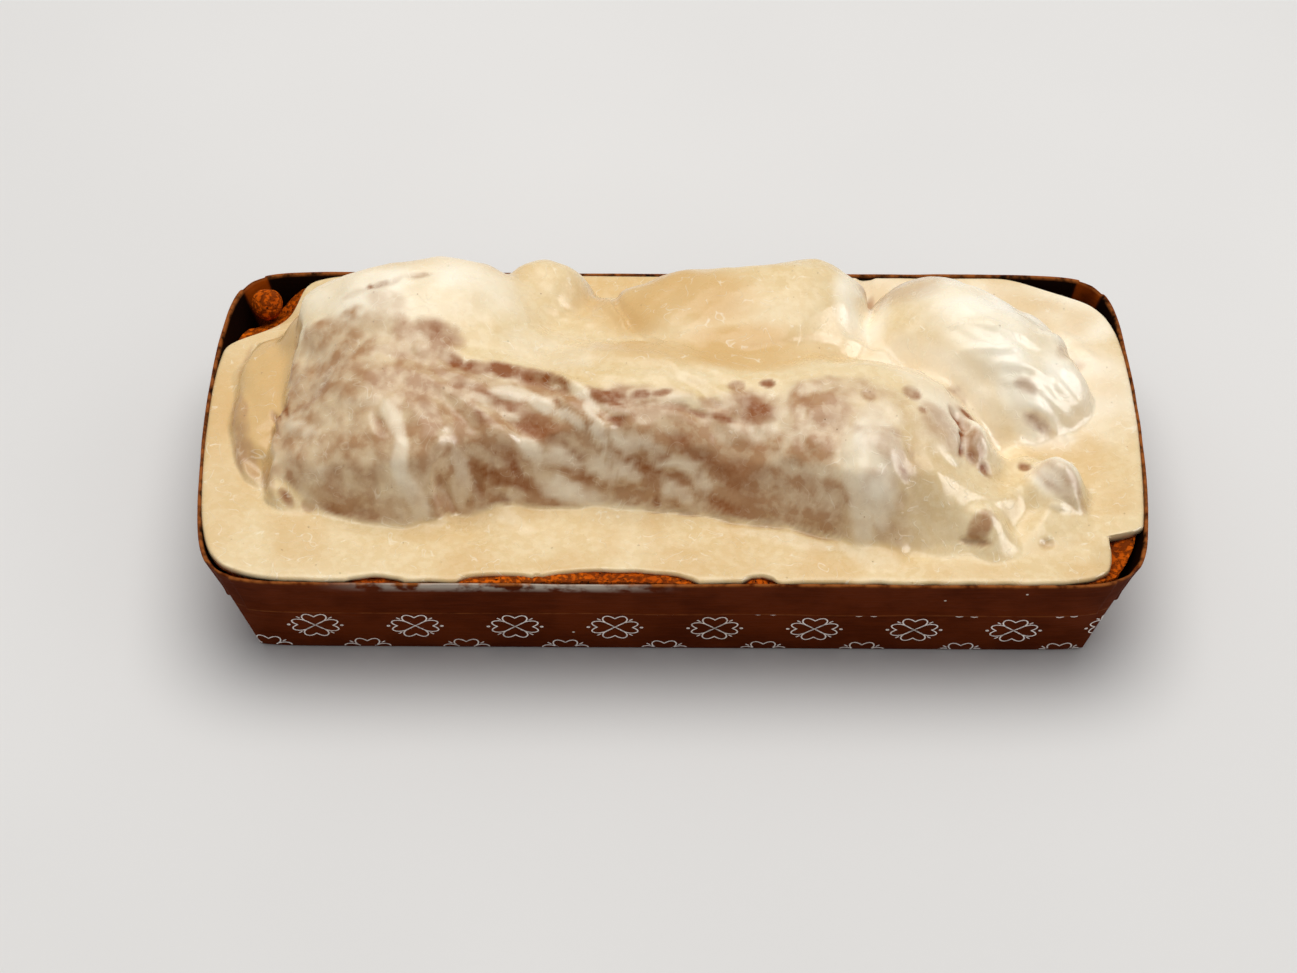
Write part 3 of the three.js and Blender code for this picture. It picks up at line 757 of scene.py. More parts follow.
    (87.6, 4.0, 10.0, 1.5, -2, 0.8, -0.2, 0),
    (99.0, 3.3, 5.2, 2.3, -8, 0.9, -0.4, 0),
    (87.2, 0.9, 7.0, 1.2, -5, 0.6, 0, 0),
    (96.4, -0.0, 5.4, 2.0, -8, 0.9, -0.3, 0),
    (91.4, -2.6, 5.5, 0.8, 2, 0.7, -0.2, 0),
    (97.2, -4.3, 4.1, 2.3, -55, 0.9, -0.4, 0),
    (93.1, -26.2, 3.1, 1.3, -58, 0.5, -0.6, 0),
    (99.0, -30.7, 2.8, 1.4, -46, 0.6, -0.9, 0),
    (95.0, -32.7, 3.4, 0.9, -5, 0.5, -0.8, 0),
    (76.7, -20.2, 2.7, 1.3, -82, 0.6, -0.9, 0),
    (68.4, -26.8, 2.2, 1.4, -17, 0.5, -0.9, 0),
    (49.5, -39.3, 4.6, 2.0, -41, 0.3, -0.9, 0),
    (76.7, -38.7, 3.8, 1.4, -74, 0.6, -0.8, 0),
    # the terrace's lower end, and spots along the step above it
    (-107.4, -13.0, 8.3, 2.1, -71, 0, 0.75, 0.05),
    (-96.5, -6.6, 4.8, 1.0, -77, -0.3, 0.4, 0.7),
    (-98.9, -7.0, 4.4, 0.9, -73, -0.4, 0.3, 0.8),
    (-95.3, 13.8, 5.1, 0.8, -80, -0.3, 0.3, 0.6),
    (-98.2, -12.8, 2.7, 0.8, -73, -0.3, 0.2, 0.7),
    # single places: painted highlights on the knob and on the shelf behind the lobe, and a place on
    # the ridge
    (93.3, -26.7, 5.6, 1.5, -42, 0.2, -0.7, 0),
    (97.5, 38.6, 14.5, 11.0, -42, 0.3, -0.9, 0),
    (-7.8, -24.6, 7.6, 1.6, -14, -0.1, 0.8, 0.3),
]


def read_marks(x, y):
    """The lift, veil, whitening and rust that the strongest mark gives to each place."""
    place = stack(x, y, 0)
    x = x + 0.6 * noise(place, 4.5, 38) + 0.25 * noise(place, 2, 29)
    y = y + 0.35 * noise(place, 4.5, 39) + 0.15 * noise(place, 2, 30)
    fold, dent, veil, whitening, rust = (np.zeros_like(x) for _ in range(5))
    for cx, cy, along_reach, across_reach, degrees, lift, mark_veil, mark_rust in MARKS:
        along, across = along_and_across(x, y, cx, cy, degrees)
        core = np.maximum(1 - (along / along_reach) ** 2 - (across / across_reach) ** 2, 0)
        full = ramp(core, 0, 0.8)
        fold = np.maximum(fold, lift * core**1.5)
        dent = np.minimum(dent, lift * core**1.5)
        veil = np.maximum(veil, mark_veil * full)
        whitening = np.minimum(whitening, mark_veil * full)
        rust = np.maximum(rust, mark_rust * ramp(core, 0, 1.1))
    return fold + dent, veil, -whitening, rust


print(f"{len(MARKS)} marks")

# %% [markdown]
# ### From the form to four attributes
# The marks alone would leave most of the front blank. What covers it follows the form: the coat is
# thin below the crest and down the steep front, and in the middle it is torn into slanting streaks.
# Four numbers are kept for every point: how thin the coat is, how rusty, how warm (thick icing looks
# golden in a pool, and at the left end and before the right lobe the golden is painted shade) and how
# milky (freshly white where it came down last, and painted highlights on the knob, the crag, the
# corner of the ridge and the tops).

# %% Thickness and tints of the coat
CREST = [  # x and y along the top edge of the steep front
    (-104, -12), (-99, -4), (-96, 8), (-92, 14), (-82, 14), (-72, 12), (-63, 8), (-56.6, 3.2),
    (-50, -4.8), (-42.8, -3.4), (-33, -4.5), (-24, -12.5), (-6, -12.5), (6.5, -14), (16.4, -11),
    (28.7, -9.5), (38.7, -8), (48.4, -9), (57, -11), (65.7, -13), (71, -13),
]
# x, and how thin the coat on the steep front is there
FACE_SHARE = [(-62, 0.8), (-50, 1), (37, 1.05), (45, 0.55), (53, 0.5), (57, 0.3), (64, 0.12), (74, 0)]
STREAK_SLANT = math.radians(-23)
STREAK_LENGTH, STREAK_SPACING = 13, 2.6
UP_FACE_Y, UP_FACE_Z = 0.72, 0.69  # the way up the steep front, as shares of y and z
# At the left end and in the valley before the right lobe, the golden is painted shade as well.
WARM_PATCHES = [  # ovals where thick icing looks golden: x, y, reach along and across, turn, strength
    (-113, -10, 13, 48, 0, 0.7),  # the left end
    (-2, 24, 30, 16, -8, 1.0),  # the pool behind the ridge
    (14, 4, 44, 11, 3, 0.9),
    (64, 2, 30, 12, -40, 0.2),  # the valley before the right lobe
    (108, 2, 10, 44, 0, 0.25),
    (-60, 34, 40, 12, 0, 0.35),
]
# White of fresh icing, and painted highlights on the knob, the crag, the corner of the ridge, the end
# of the slab and the tops.
MILKY_AND_HIGHLIGHT_PATCHES = [  # ovals where it looks white, given in the same way
    (90, 20, 40, 28, -40, 1.0),  # the right lobe
    (92, 3, 17, 15, -40, 1.0),
    (66, 0, 28, 13, -40, 0.75),  # the valley before it
    (104, 38, 15, 16, 0, 0.8),  # the shelf behind it
    (69, -14, 15, 10, -35, 0.8),  # the crag
    (49, -30, 8, 16, 0, 0.9),  # the corner of the ridge
    (94, -25, 9, 7, -40, 0.9),  # the knob
    (48, 24, 9, 16, 0, 0.8),  # the end of the back slab
    (-66, 20, 34, 18, 0, 0.8),  # the top of the left mass
    (-30, 2, 16, 9, -20, 0.35),
    (60, 48, 60, 9, 0, 0.8),  # the shelf at the back
    (66, -18, 12, 12, 0, 0.35),
]


def patches(x, y, rows):
    """The strongest of several soft ovals at each point."""
    most = np.zeros_like(x)
    for cx, cy, along_reach, across_reach, degrees, strength in rows:
        along, across = along_and_across(x, y, cx, cy, degrees)
        share = (along / along_reach) ** 2 + (across / across_reach) ** 2
        most = np.maximum(most, strength * ramp(1 - share, 0, 0.8))
    return most


def streaks(points):
    """Torn streaks that slant down the steep front, as numbers from -1 to 1."""
    x = points[..., 0]
    up_face = UP_FACE_Y * points[..., 1] + UP_FACE_Z * points[..., 2]
    bend = 2.2 * noise(points, 15, 31)
    along = x * math.cos(STREAK_SLANT) + up_face * math.sin(STREAK_SLANT)
    across = up_face * math.cos(STREAK_SLANT) - x * math.sin(STREAK_SLANT) + bend
    return noise(stack(along / STREAK_LENGTH, across / STREAK_SPACING, 0 * x), 1, 32)


x, y = coat[..., 0], coat[..., 1]

# Where the crown, the steep front and its torn middle are, each as a share from 0 to 1.
on_crown = ramp(crown_height(x, y), 0.1, 1.4)
lump = 0.7 * noise(coat, 9, 33) + 0.9 * noise(coat, 4.2, 34) + 0.6 * noise(coat, 2.1, 37)
below_crest = np.interp(x, *zip(*CREST)) + 1.5 * lump - y
over_terrace, _ = ledge_distance(MASS_EDGE, "y", 1, x, y)
on_mass = ramp(over_terrace, -0.3, 0.9)  # 0 on the low terrace at the left, where the icing pooled
face = on_crown * on_mass * ramp(below_crest, -0.5, 4) * np.interp(x, *zip(*FACE_SHARE))
torn = face * ramp(x, -57, -45) * ramp(x, 30, 8)
streak = streaks(coat)

# The coat is thin on the front and where a mark veils it. Rust shows in marks and in torn streaks.
lift, veil, whitening, rust = read_marks(x, y)
thin = face * (blend(0.8, 0.92, torn) + lump * blend(0.5, 0.22, torn)) + 0.4 * torn * streak
thin = np.clip(np.maximum(thin, veil) * (1 - 0.65 * whitening), 0, 1)
rust = rust * np.clip(0.72 + 0.8 * noise(coat, 2.8, 35), 0.1, 1.15)
rust = np.maximum(rust, 0.7 * torn * ramp(streak, 0.05, 0.8))
rust = np.clip(rust * (1 - whitening), 0, 1)

# Icing looks golden in its pools, on the terrace and here and there on the shelf. At the left end
# and in the valley before the right lobe the golden is painted shade as well.
warm = patches(x, y, WARM_PATCHES)
warm = np.clip(warm * (0.8 + 0.5 * noise(coat, 11, 36)), 0, 1)
warm = np.maximum(warm, 0.9 * on_crown * (1 - on_mass))
golden = ramp(noise(coat, 13, 27) + 0.5 * noise(coat, 5, 26), -0.4, 0.6)
warm = np.maximum(warm, 0.5 * (1 - on_crown) * golden)

# It looks milky in its own patches, some of them painted highlights, and a little all over the
# front, which lightens the shaded front as painted light.
milky = patches(x, y, MILKY_AND_HIGHLIGHT_PATCHES)
milky = np.maximum(milky * (0.8 + 0.4 * noise(coat, 7, 28)), 0.3 * face + 0.35 * whitening)
milky = np.clip(milky, 0, 1)
print(f"thin over {np.mean(thin > 0.3):.0%} of the coat, rusty over {np.mean(rust > 0.3):.0%}")

# %% [markdown]
# ### Closing the skin
# The icing needs an underside, or light would show it as an open sheet. Nobody sees the underside,
# so it is a coarse grid, and a band of triangles joins its edge to the fine edge of the top.

# %% The icing as one closed mesh
UNDERSIDE_STEP = 4  # the hidden underside has a point for every fourth one above


def stitch_faces(coarse, fine):
    """Triangles between a loop and a finer one outside it, facing outwards."""
    faces = []
    step = len(fine) // len(coarse)
    for k, start in enumerate(coarse):
        end = coarse[(k + 1) % len(coarse)]
        run = [fine[(k * step + j) % len(fine)] for j in range(step + 1)]
        middle = step // 2
        faces += [[start, run[j + 1], run[j]] for j in range(middle)]
        faces += [[end, run[j + 1], run[j]] for j in range(middle, step)]
        faces.append([start, end, run[middle]])
    return faces


def coat_relief():
    """Fine relief of the coat, in millimetres along its normal."""
    knead = 0.4 * noise(coat, 12, 40) + 0.3 * lump * face
    wrinkle = 0.2 * noise(coat, 6, 41) + 0.1 * noise(coat, 2.6, 42) + 0.04 * noise(coat, 1.3, 43)
    shelf_wave = 0.16 * noise(coat, 14, 44) + 0.05 * noise(coat, 5, 45)
    relief = blend(shelf_wave, knead + wrinkle * (0.5 + 0.5 * thin), on_crown)
    return relief + lift - 0.16 * torn * streak


def icing_points():
    over = coat + coat_normals * coat_relief()[..., None]
    columns, rows = ICING_COLUMNS // UNDERSIDE_STEP, ICING_ROWS // UNDERSIDE_STEP
    u, v = icing_u[::UNDERSIDE_STEP, ::UNDERSIDE_STEP], icing_v[::UNDERSIDE_STEP, ::UNDERSIDE_STEP]
    x, y = icing_plan(u, v)
    cake_x, cake_y = cake_plan(u, v)
    lifted = cake_top(x, y) + GAP + LIFT * np.hypot(x - cake_x, y - cake_y)
    under = stack(x, y, lifted)
    return over, under, columns, rows


over, under, under_columns, under_rows = icing_points()
over_count = over.shape[0] * over.shape[1]
icing_faces = grid_faces(ICING_COLUMNS, ICING_ROWS)
icing_faces += grid_faces(under_columns, under_rows, over_count, upward=False)
icing_faces += stitch_faces(
    grid_outline(under_columns, under_rows, over_count).tolist(),
    grid_outline(ICING_COLUMNS, ICING_ROWS).tolist(),
)


def with_underside(values):
    """Gives the hidden underside the value 0."""
    return np.concatenate([values.ravel(), np.zeros(under.shape[0] * under.shape[1])])


icing_coat = make_piece(
    "icing_coat",
    np.concatenate([over.reshape(-1, 3), under.reshape(-1, 3)]),
    icing_faces,
    thin=with_underside(thin),
    rust=with_underside(rust),
    warm=with_underside(warm),
    milky=with_underside(milky),
)

# %% [markdown]
# ## The cake
# Almost all of the cake is hidden. What shows are strips of crust at the front edge and in the
# corners, golden brown, dry and full of small pores. So the mesh is fine over the top only, and two
# plain loops of points below it make its sides. In the back left corner the loaf didn't fill the
# case, and a round crumb of crust has baked there. It is a small rough ball, closed in itself.

# %% The cake as one closed mesh
CAKE_COLUMNS, CAKE_ROWS = 300, 150
CAKE_WAIST = 20  # the height of the upper loop of the sides
CRUMB_MIDDLE, CRUMB_RADIUS = (-106.3, 45.8, 30.6), 4.1
CRUMB_STEPS = 36
CRUST_BULGE = 0.9  # the crust swells by this much along the front
BULGE_MIDDLE, BULGE_REACH = (-24, -55), (40, 9)


def crust_points():
    u, v = grid(CAKE_COLUMNS, CAKE_ROWS)
    x, y = cake_plan(u, v)
    z = cake_top(x, y)
    shape = stack(x, y, z)
    near_edge = ramp(edge_distance(u, v), 12, 2)
    rough = 0.35 * noise(shape, 4, 51) + 0.22 * noise(shape, 1.7, 52)
    at_front = oval(x, y, BULGE_MIDDLE, BULGE_REACH)
    return stack(x, y, z + near_edge * rough + CRUST_BULGE * at_front)


def cake_loop(height):
    index = grid_outline(CAKE_COLUMNS, CAKE_ROWS)
    u, v = (values.ravel()[index] for values in grid(CAKE_COLUMNS, CAKE_ROWS))
    inset = WALL + GAP
    return stack(*case_point(u, v, height / CASE_HEIGHT, inset, inset, 0.9), height)


def crumb(first):
    """A rough ball: rings between two poles. `first` is the number of its first point."""
    tilt = np.linspace(0, math.pi, CRUMB_STEPS // 2 + 1)[1:-1, None]
    turn = np.linspace(0, 2 * math.pi, CRUMB_STEPS, endpoint=False)
    rings = stack(np.sin(tilt) * np.cos(turn), np.sin(tilt) * np.sin(turn), -np.cos(tilt))
    out = np.concatenate([rings.reshape(-1, 3), [[0, 0, -1], [0, 0, 1]]])
    radius = CRUMB_RADIUS * (1 + 0.1 * noise(out * CRUMB_RADIUS, 3.5, 53))
    index = first + np.arange(rings.size // 3).reshape(-1, CRUMB_STEPS)
    faces = [face for below, above in zip(index, index[1:]) for face in band_faces(below, above)]
    low, high = first + len(out) - 2, first + len(out) - 1
    faces += [[low, after, before] for before, after in zip(index[0], np.roll(index[0], -1))]
    faces += [[high, before, after] for before, after in zip(index[-1], np.roll(index[-1], -1))]
    return out * radius[:, None] + CRUMB_MIDDLE, faces


def make_cake():
    top = crust_points().reshape(-1, 3)
    loops = [cake_loop(PAPER + GAP), cake_loop(CAKE_WAIST)]
    size = len(loops[0])
    foot, waist = len(top) + np.arange(size), len(top) + size + np.arange(size)
    faces = grid_faces(CAKE_COLUMNS, CAKE_ROWS)
    faces += band_faces(foot, waist) + band_faces(waist, grid_outline(CAKE_COLUMNS, CAKE_ROWS))
    faces.append(foot[::-1].tolist())
    ball, ball_faces = crumb(len(top) + 2 * size)
    return make_piece("cake_crust", np.concatenate([top, *loops, ball]), faces + ball_faces)


cake = make_cake()

# %% [markdown]
# ## The paper case
# The case is folded from one sheet of stiff greaseproof paper. Its top edge is turned down outside
# as a hem, which makes the rim stiff. In the corners the spare paper is folded flat. It could be
# modelled flat and folded with a simulation. Here a profile is carried round the plan instead, ring
# by ring, because the profile can then show the folds: a rounded base, a wall, the raw edge of the
# hem, the rounded rim and the inside.

# %% Rings of the case
CASE_COLUMNS, CASE_ROWS = 210, 100
FOLD = 0.45  # radius of a fold
HEM_FOOT = CASE_HEIGHT - HEM_HEIGHT
HEM_STOPS = 0.972  # the hem ends at this share of a long side, where the corner fold begins
RIM_WAVER = 0.45  # how uneven the rim is, and below it the walls
WALL_WAVER = 0.3


def case_rings():
    """Height and inset of each ring, from the middle of the base outside to the inside of the floor.

    The third number is 1 on the hem, which is missing at the corner folds.
    """
    rings = [(0, 1.6, 0), (0, 0.8, 0), (0.25, 0.25, 0), (0.9, 0, 0)]
    rings += [(height, 0, 0) for height in np.linspace(2.4, HEM_FOOT - 0.35, 12)]
    rings += [(HEM_FOOT - 0.06, 0, 0), (HEM_FOOT, 0, 0.2), (HEM_FOOT - 0.05, 0, 1.55)]
    rings += [(HEM_FOOT + 0.15, 0, 1.7), (HEM_FOOT + 0.7, 0, 1.55), (HEM_FOOT + 1.8, 0, 1.25)]
    rings += [(height, 0, 1) for height in np.linspace(HEM_FOOT + 3.4, CASE_HEIGHT - 1, 8)]
    for degrees in (0, 30, 60, 90, 120, 150):
        turn = math.radians(degrees)
        rings.append((CASE_HEIGHT - FOLD * (1 - math.sin(turn)), FOLD * (1 - math.cos(turn)), 1))
    rings += [(height, WALL, 0) for height in np.linspace(CASE_HEIGHT - 0.9, PAPER + 0.6, 14)]
    rings += [(PAPER + 0.15, WALL + 0.2, 0), (PAPER, WALL + 0.8, 0)]
    return rings


def corner_share(u, v):
    """0 along a wall, and 1 in the folded corners."""
    return ramp(np.abs(u), HEM_STOPS - 0.006, HEM_STOPS) * ramp(np.abs(v), 0.93, 0.945)


case_index = grid_outline(CASE_COLUMNS, CASE_ROWS)
case_u, case_v = (values.ravel()[case_index] for values in grid(CASE_COLUMNS, CASE_ROWS))
in_corner = corner_share(case_u, case_v)
print(f"{len(case_rings())} rings of {len(case_index)} points")


# %% The case as one closed mesh
def uneven_wall(x, y, height):
    """Points of a wall, moved in and out a little, because paper that is filled isn't flat."""
    wall = stack(x, y, height)
    outward = stack(x / (RIM_LENGTH / 2), y / (RIM_WIDTH / 2), 0)
    outward = outward / np.linalg.norm(outward, axis=-1, keepdims=True)
    swell = WALL_WAVER * noise(wall, 21, 61) + 0.1 * noise(wall, 7, 62)
    swell = np.minimum(swell, 0.1) * ramp(height / CASE_HEIGHT, 0.03, 0.5)
    return wall + outward * swell[..., None]


def case_ring(height, inset, hem):
    level = height / CASE_HEIGHT
    outer_inset = inset + (HEM_PROUD * (1 - hem * (1 - in_corner)) if inset < WALL / 2 else 0)
    x, y = case_point(case_u, case_v, level, outer_inset, outer_inset)
    lift = RIM_WAVER * (noise(stack(x, y, 0), 26, 63) - 1) * ramp(level, 0.8, 1.0)
    return uneven_wall(x, y, height) + stack(0 * x, 0, 0.6 * lift)


def make_case():
    rings = case_rings()
    size = len(case_index)
    loops = [np.arange(size) + size * k for k in range(len(rings))]
    faces = [face for below, above in zip(loops, loops[1:]) for face in band_faces(below, above)]
    faces.append(loops[0][::-1].tolist())
    faces.append(loops[-1].tolist())
    points = np.concatenate([case_ring(*ring) for ring in rings])
    heights, insets, _ = (np.repeat(column, size) for column in np.array(rings).T)
    around = np.tile(in_corner, len(rings))
    inside = (insets > FOLD).astype(float) * (heights > 1)
    worn = ramp(heights, CASE_HEIGHT - 0.75, CASE_HEIGHT - 0.05) * (insets < WALL)
    hem_edge = np.exp(-(((heights - HEM_FOOT - 0.05) / 0.25) ** 2)) * (1 - inside)
    x, y = points[:, 0], points[:, 1]
    # Icing that ran over the rim has dried on the front of the hem.
    smear = ramp(x, -88, -60) * ramp(x, 4, -20) * ramp(heights, 29.6, 32.6) * (y < 0) * (1 - inside)
    return make_piece(
        "case_paper",
        points,
        faces,
        worn=np.maximum(worn, 0.5 * hem_edge),
        inside=inside,
        corner=around,
        smear=smear,
    )


case = make_case()

# %% [markdown]
# ## The print on the paper
# The paper is printed before it is folded: rows of clover figures, each of four hearts, with every
# second row shifted by half a step. What repeats is a job for Geometry Nodes. One clover is drawn
# as a few closed lines. The tree lays it out over a flat sheet, gives the lines the width and
# thickness of the ink, and cuts off what the hem or the base fold covers. Then the flat ink is laid
# on the walls, as the paper was folded up.

# %% One clover
HEART_LENGTH = 5.75
HEART_WIDTH = 6.1
DOT_DISTANCE, DOT_RADIUS = 6.6, 0.3
TICK_DISTANCE, TICK_LENGTH = 5.6, 1.2
HEART_POINTS, DOT_POINTS = 28, 6


def heart_line():
    """A heart with its tip at the origin, standing up along +Y.

    It is the common heart curve, a little fuller at its sides. Before it is scaled it spans 32
    units across and about 29 along.
    """
    t = np.linspace(math.pi, 3 * math.pi, HEART_POINTS, endpoint=False)
    x = 16 * np.sin(t) * np.abs(np.sin(t))
    y = 13 * np.cos(t) - 5 * np.cos(2 * t) - 2 * np.cos(3 * t) - np.cos(4 * t)
    return np.stack([x / 32 * HEART_WIDTH, (y + 17) / 29 * HEART_LENGTH], axis=-1)


def turned(points, degrees):
    turn = math.radians(degrees)
    matrix = np.array([[math.cos(turn), math.sin(turn)], [-math.sin(turn), math.cos(turn)]])
    return points @ matrix


def clover_lines():
    """The clover's lines, each with whether it closes on itself."""
    circle = np.linspace(0, 2 * math.pi, DOT_POINTS, endpoint=False)
    dot = DOT_RADIUS * np.stack([np.cos(circle), np.sin(circle)], axis=-1)
    tick = np.array([[0, TICK_DISTANCE - TICK_LENGTH / 2], [0, TICK_DISTANCE + TICK_LENGTH / 2]])
    lines = [(turned(heart_line(), 90 * k), True) for k in range(4)]
    lines += [(dot + [side * DOT_DISTANCE, 0], True) for side in (-1, 1)]
    lines += [(turned(tick, 45 + 90 * k), False) for k in range(4)]
    return lines


def curve_stamp(name, lines):
    """A curve object that holds flat lines, in millimetres, to be repeated by the tree."""
    curve = bpy.data.curves.new(name, "CURVE")
    curve.dimensions = "3D"
    for points, closed in lines:
        spline = curve.splines.new("POLY")
        spline.points.add(len(points) - 1)
        rows = np.column_stack([points * MM, np.zeros(len(points)), np.ones(len(points))])
        spline.points.foreach_set("co", rows.ravel())
        spline.use_cyclic_u = closed
    stamp = bpy.data.objects.new(name, curve)
    bpy.context.scene.collection.objects.link(stamp)
    return stamp


clover = curve_stamp("clover_stamp", clover_lines())
print(f"one clover: {len(clover.data.splines)} lines")


# %% Node helpers
def add(tree, kind, inputs=None, **settings):
    """Adds a node, with its settings, and its inputs as numbers or as links from other sockets."""
    node = tree.nodes.new(kind)
    for name, value in settings.items():
        setattr(node, name, value)
    for key, value in (inputs or {}).items():
        if isinstance(value, bpy.types.NodeSocket):
            tree.links.new(value, node.inputs[key])
        else:
            node.inputs[key].default_value = value
    return node


def sum_up(tree, operation, *values, clamp=False):
    """A Math node, and its one output."""
    inputs = dict(enumerate(values))
    return add(tree, "ShaderNodeMath", inputs, operation=operation, use_clamp=clamp).outputs[0]


def new_sockets(group, in_out, kinds):
    """kinds gives each socket's name and type, and for an input its first value as well."""
    for name, kind, *first in kinds:
        socket = group.interface.new_socket(name=name, in_out=in_out, socket_type=kind)
        if first:
            socket.default_value = first[0]


print("helpers for node trees are ready")

# %% The tree that prints
PRINT_SIZES = [
    ("Stamp", "NodeSocketObject"),
    ("Pitch", "NodeSocketFloat", 0.02475),
    ("Row spacing", "NodeSocketFloat", 0.0131),
    ("Columns", "NodeSocketInt", 9),
    ("Row pairs", "NodeSocketInt", 2),
    ("Start", "NodeSocketVector", (0, 0, 0)),
    ("Lean", "NodeSocketFloat", 0.0),
    ("Half length", "NodeSocketFloat", 0.1),
    ("Foot", "NodeSocketFloat", 0.0005),
    ("Top", "NodeSocketFloat", 0.0195),
    ("Line width", "NodeSocketFloat", 0.00042),
    ("Ink", "NodeSocketMaterial"),
]
INK_THICKNESS = 0.03


def print_tree():
    tree = bpy.data.node_groups.new("clover_print", "GeometryNodeTree")
    new_sockets(tree, "INPUT", [("Geometry", "NodeSocketGeometry"), *PRINT_SIZES])
    new_sockets(tree, "OUTPUT", [("Geometry", "NodeSocketGeometry")])
    given = tree.nodes.new("NodeGroupInput").outputs
    stamp = add(tree, "GeometryNodeObjectInfo", {"Object": given["Stamp"]}).outputs["Geometry"]

    # Two lattices of points, the second shifted by half a pitch and one row.
    long_side = sum_up(tree, "MULTIPLY", given["Pitch"], sum_up(tree, "SUBTRACT", given["Columns"], 1))
    two_rows = sum_up(tree, "MULTIPLY", given["Row spacing"], 2)
    short_side = sum_up(tree, "MULTIPLY", two_rows, sum_up(tree, "SUBTRACT", given["Row pairs"], 1))
    sizes = {
        "Size X": long_side,
        "Size Y": short_side,
        "Vertices X": given["Columns"],
        "Vertices Y": given["Row pairs"],
    }
    lattice = add(tree, "GeometryNodeMeshGrid", sizes).outputs["Mesh"]
    half_pitch = sum_up(tree, "MULTIPLY", given["Pitch"], 0.5)
    shift = add(tree, "ShaderNodeCombineXYZ", {"X": half_pitch, "Y": given["Row spacing"]})
    moved = {"Geometry": lattice, "Translation": shift.outputs[0]}
    second = add(tree, "GeometryNodeTransform", moved).outputs["Geometry"]
    both = add(tree, "GeometryNodeJoinGeometry")
    for part in (lattice, second):
        tree.links.new(part, both.inputs[0])
    lean = add(tree, "ShaderNodeCombineXYZ", {"Z": given["Lean"]}).outputs[0]
    placing = {"Geometry": both.outputs[0], "Translation": given["Start"], "Rotation": lean}
    placed = add(tree, "GeometryNodeTransform", placing).outputs["Geometry"]

    # The clover on every point, and its lines given the width of the ink.
    stamped = add(tree, "GeometryNodeInstanceOnPoints", {"Points": placed, "Instance": stamp})
    lines = add(tree, "GeometryNodeRealizeInstances", {"Geometry": stamped.outputs[0]}).outputs[0]
    nib = add(
        tree,
        "GeometryNodeCurvePrimitiveQuadrilateral",
        {"Width": given["Line width"], "Height": INK_THICKNESS * MM},
    ).outputs[0]
    inked = add(
        tree, "GeometryNodeCurveToMesh", {"Curve": lines, "Profile Curve": nib, "Fill Caps": True}
    ).outputs[0]

    # Only the ink that lies on the free part of the wall stays.
    place = add(tree, "ShaderNodeSeparateXYZ", {0: add(tree, "GeometryNodeInputPosition").outputs[0]})
    along, up = place.outputs["X"], place.outputs["Y"]
    beyond_end = sum_up(tree, "GREATER_THAN", sum_up(tree, "ABSOLUTE", along), given["Half length"])
    above = sum_up(tree, "GREATER_THAN", up, given["Top"])
    below = sum_up(tree, "LESS_THAN", up, given["Foot"])
    covered = sum_up(tree, "MAXIMUM", beyond_end, sum_up(tree, "MAXIMUM", above, below))
    kept = add(tree, "GeometryNodeDeleteGeometry", {"Geometry": inked, "Selection": covered})
    real = add(tree, "GeometryNodeRealizeInstances", {"Geometry": kept.outputs[0]}).outputs[0]
    given_ink = {"Geometry": real, "Material": given["Ink"]}
    final = add(tree, "GeometryNodeSetMaterial", given_ink).outputs[0]
    add(tree, "NodeGroupOutput", {"Geometry": final})
    return tree


clover_print = print_tree()
print(f"the tree has {len(clover_print.nodes)} nodes and {len(PRINT_SIZES)} named inputs")


# %% [markdown]
# ### From the flat sheet to the walls
# A tree can be run on an empty mesh, since it makes its own points. Its result is taken as a plain
# mesh with new_from_object, and the modifier goes. Each wall gets its own sheet, cut at its two
# corners, because that is where the real pattern jumps.


# %% Print a flat sheet
def run_tree(tree, name, sizes):
    """Runs a tree on an empty mesh and gives back the points and faces that it makes."""
    holder = bpy.data.objects.new(name, bpy.data.meshes.new(name))
    bpy.context.scene.collection.objects.link(holder)
    modifier = holder.modifiers.new(name, "NODES")
    modifier.node_group = tree
    for item in tree.interface.items_tree:
        if item.in_out == "INPUT" and item.name in sizes:
            modifier[item.identifier] = sizes[item.name]
    evaluated = holder.evaluated_get(bpy.context.evaluated_depsgraph_get())
    mesh = bpy.data.meshes.new_from_object(evaluated)
    points = np.empty(len(mesh.vertices) * 3)
    mesh.vertices.foreach_get("co", points)
    faces = [list(polygon.vertices) for polygon in mesh.polygons]
    bpy.data.objects.remove(holder)
    bpy.data.meshes.remove(mesh)
    return points.reshape(-1, 3) / MM, faces


WALL_SLOPE = math.hypot(CASE_HEIGHT, (RIM_WIDTH - BASE_WIDTH) / 2) / CASE_HEIGHT
PITCH = 24.75
ROW_SPACING = 12.8
FIRST_ROW = 11.5  # how far up the wall the middle row of clovers lies
PRINT_LEAN = -0.35  # the print lies slightly aslant on the sheet, in degrees
SHEETS = [  # the wall, half its length, and how far along it the pattern starts
    ("front", RIM_LENGTH / 2, 10.5),
    ("right", RIM_WIDTH / 2, 4),
    ("back", RIM_LENGTH / 2, 6),
    ("left", RIM_WIDTH / 2, -7),
]


def print_sheet(half_length, shift):
    columns = 2 * math.ceil(half_length / PITCH) + 1
    sizes = {
        "Stamp": clover,
        "Pitch": PITCH * MM,
        "Row spacing": ROW_SPACING * MM,
        "Columns": columns,
        "Row pairs": 2,
        "Start": (shift * MM, (FIRST_ROW - ROW_SPACING) * MM, 0),
        "Lean": math.radians(PRINT_LEAN),
        "Half length": half_length * MM,
        "Foot": 0.7 * MM,
        "Top": (HEM_FOOT - 0.1) * WALL_SLOPE * MM,
        "Line width": 0.36 * MM,
    }
    return run_tree(clover_print, "printed_sheet", sizes)


print("sheets for the walls:", ", ".join(side for side, _, _ in SHEETS))


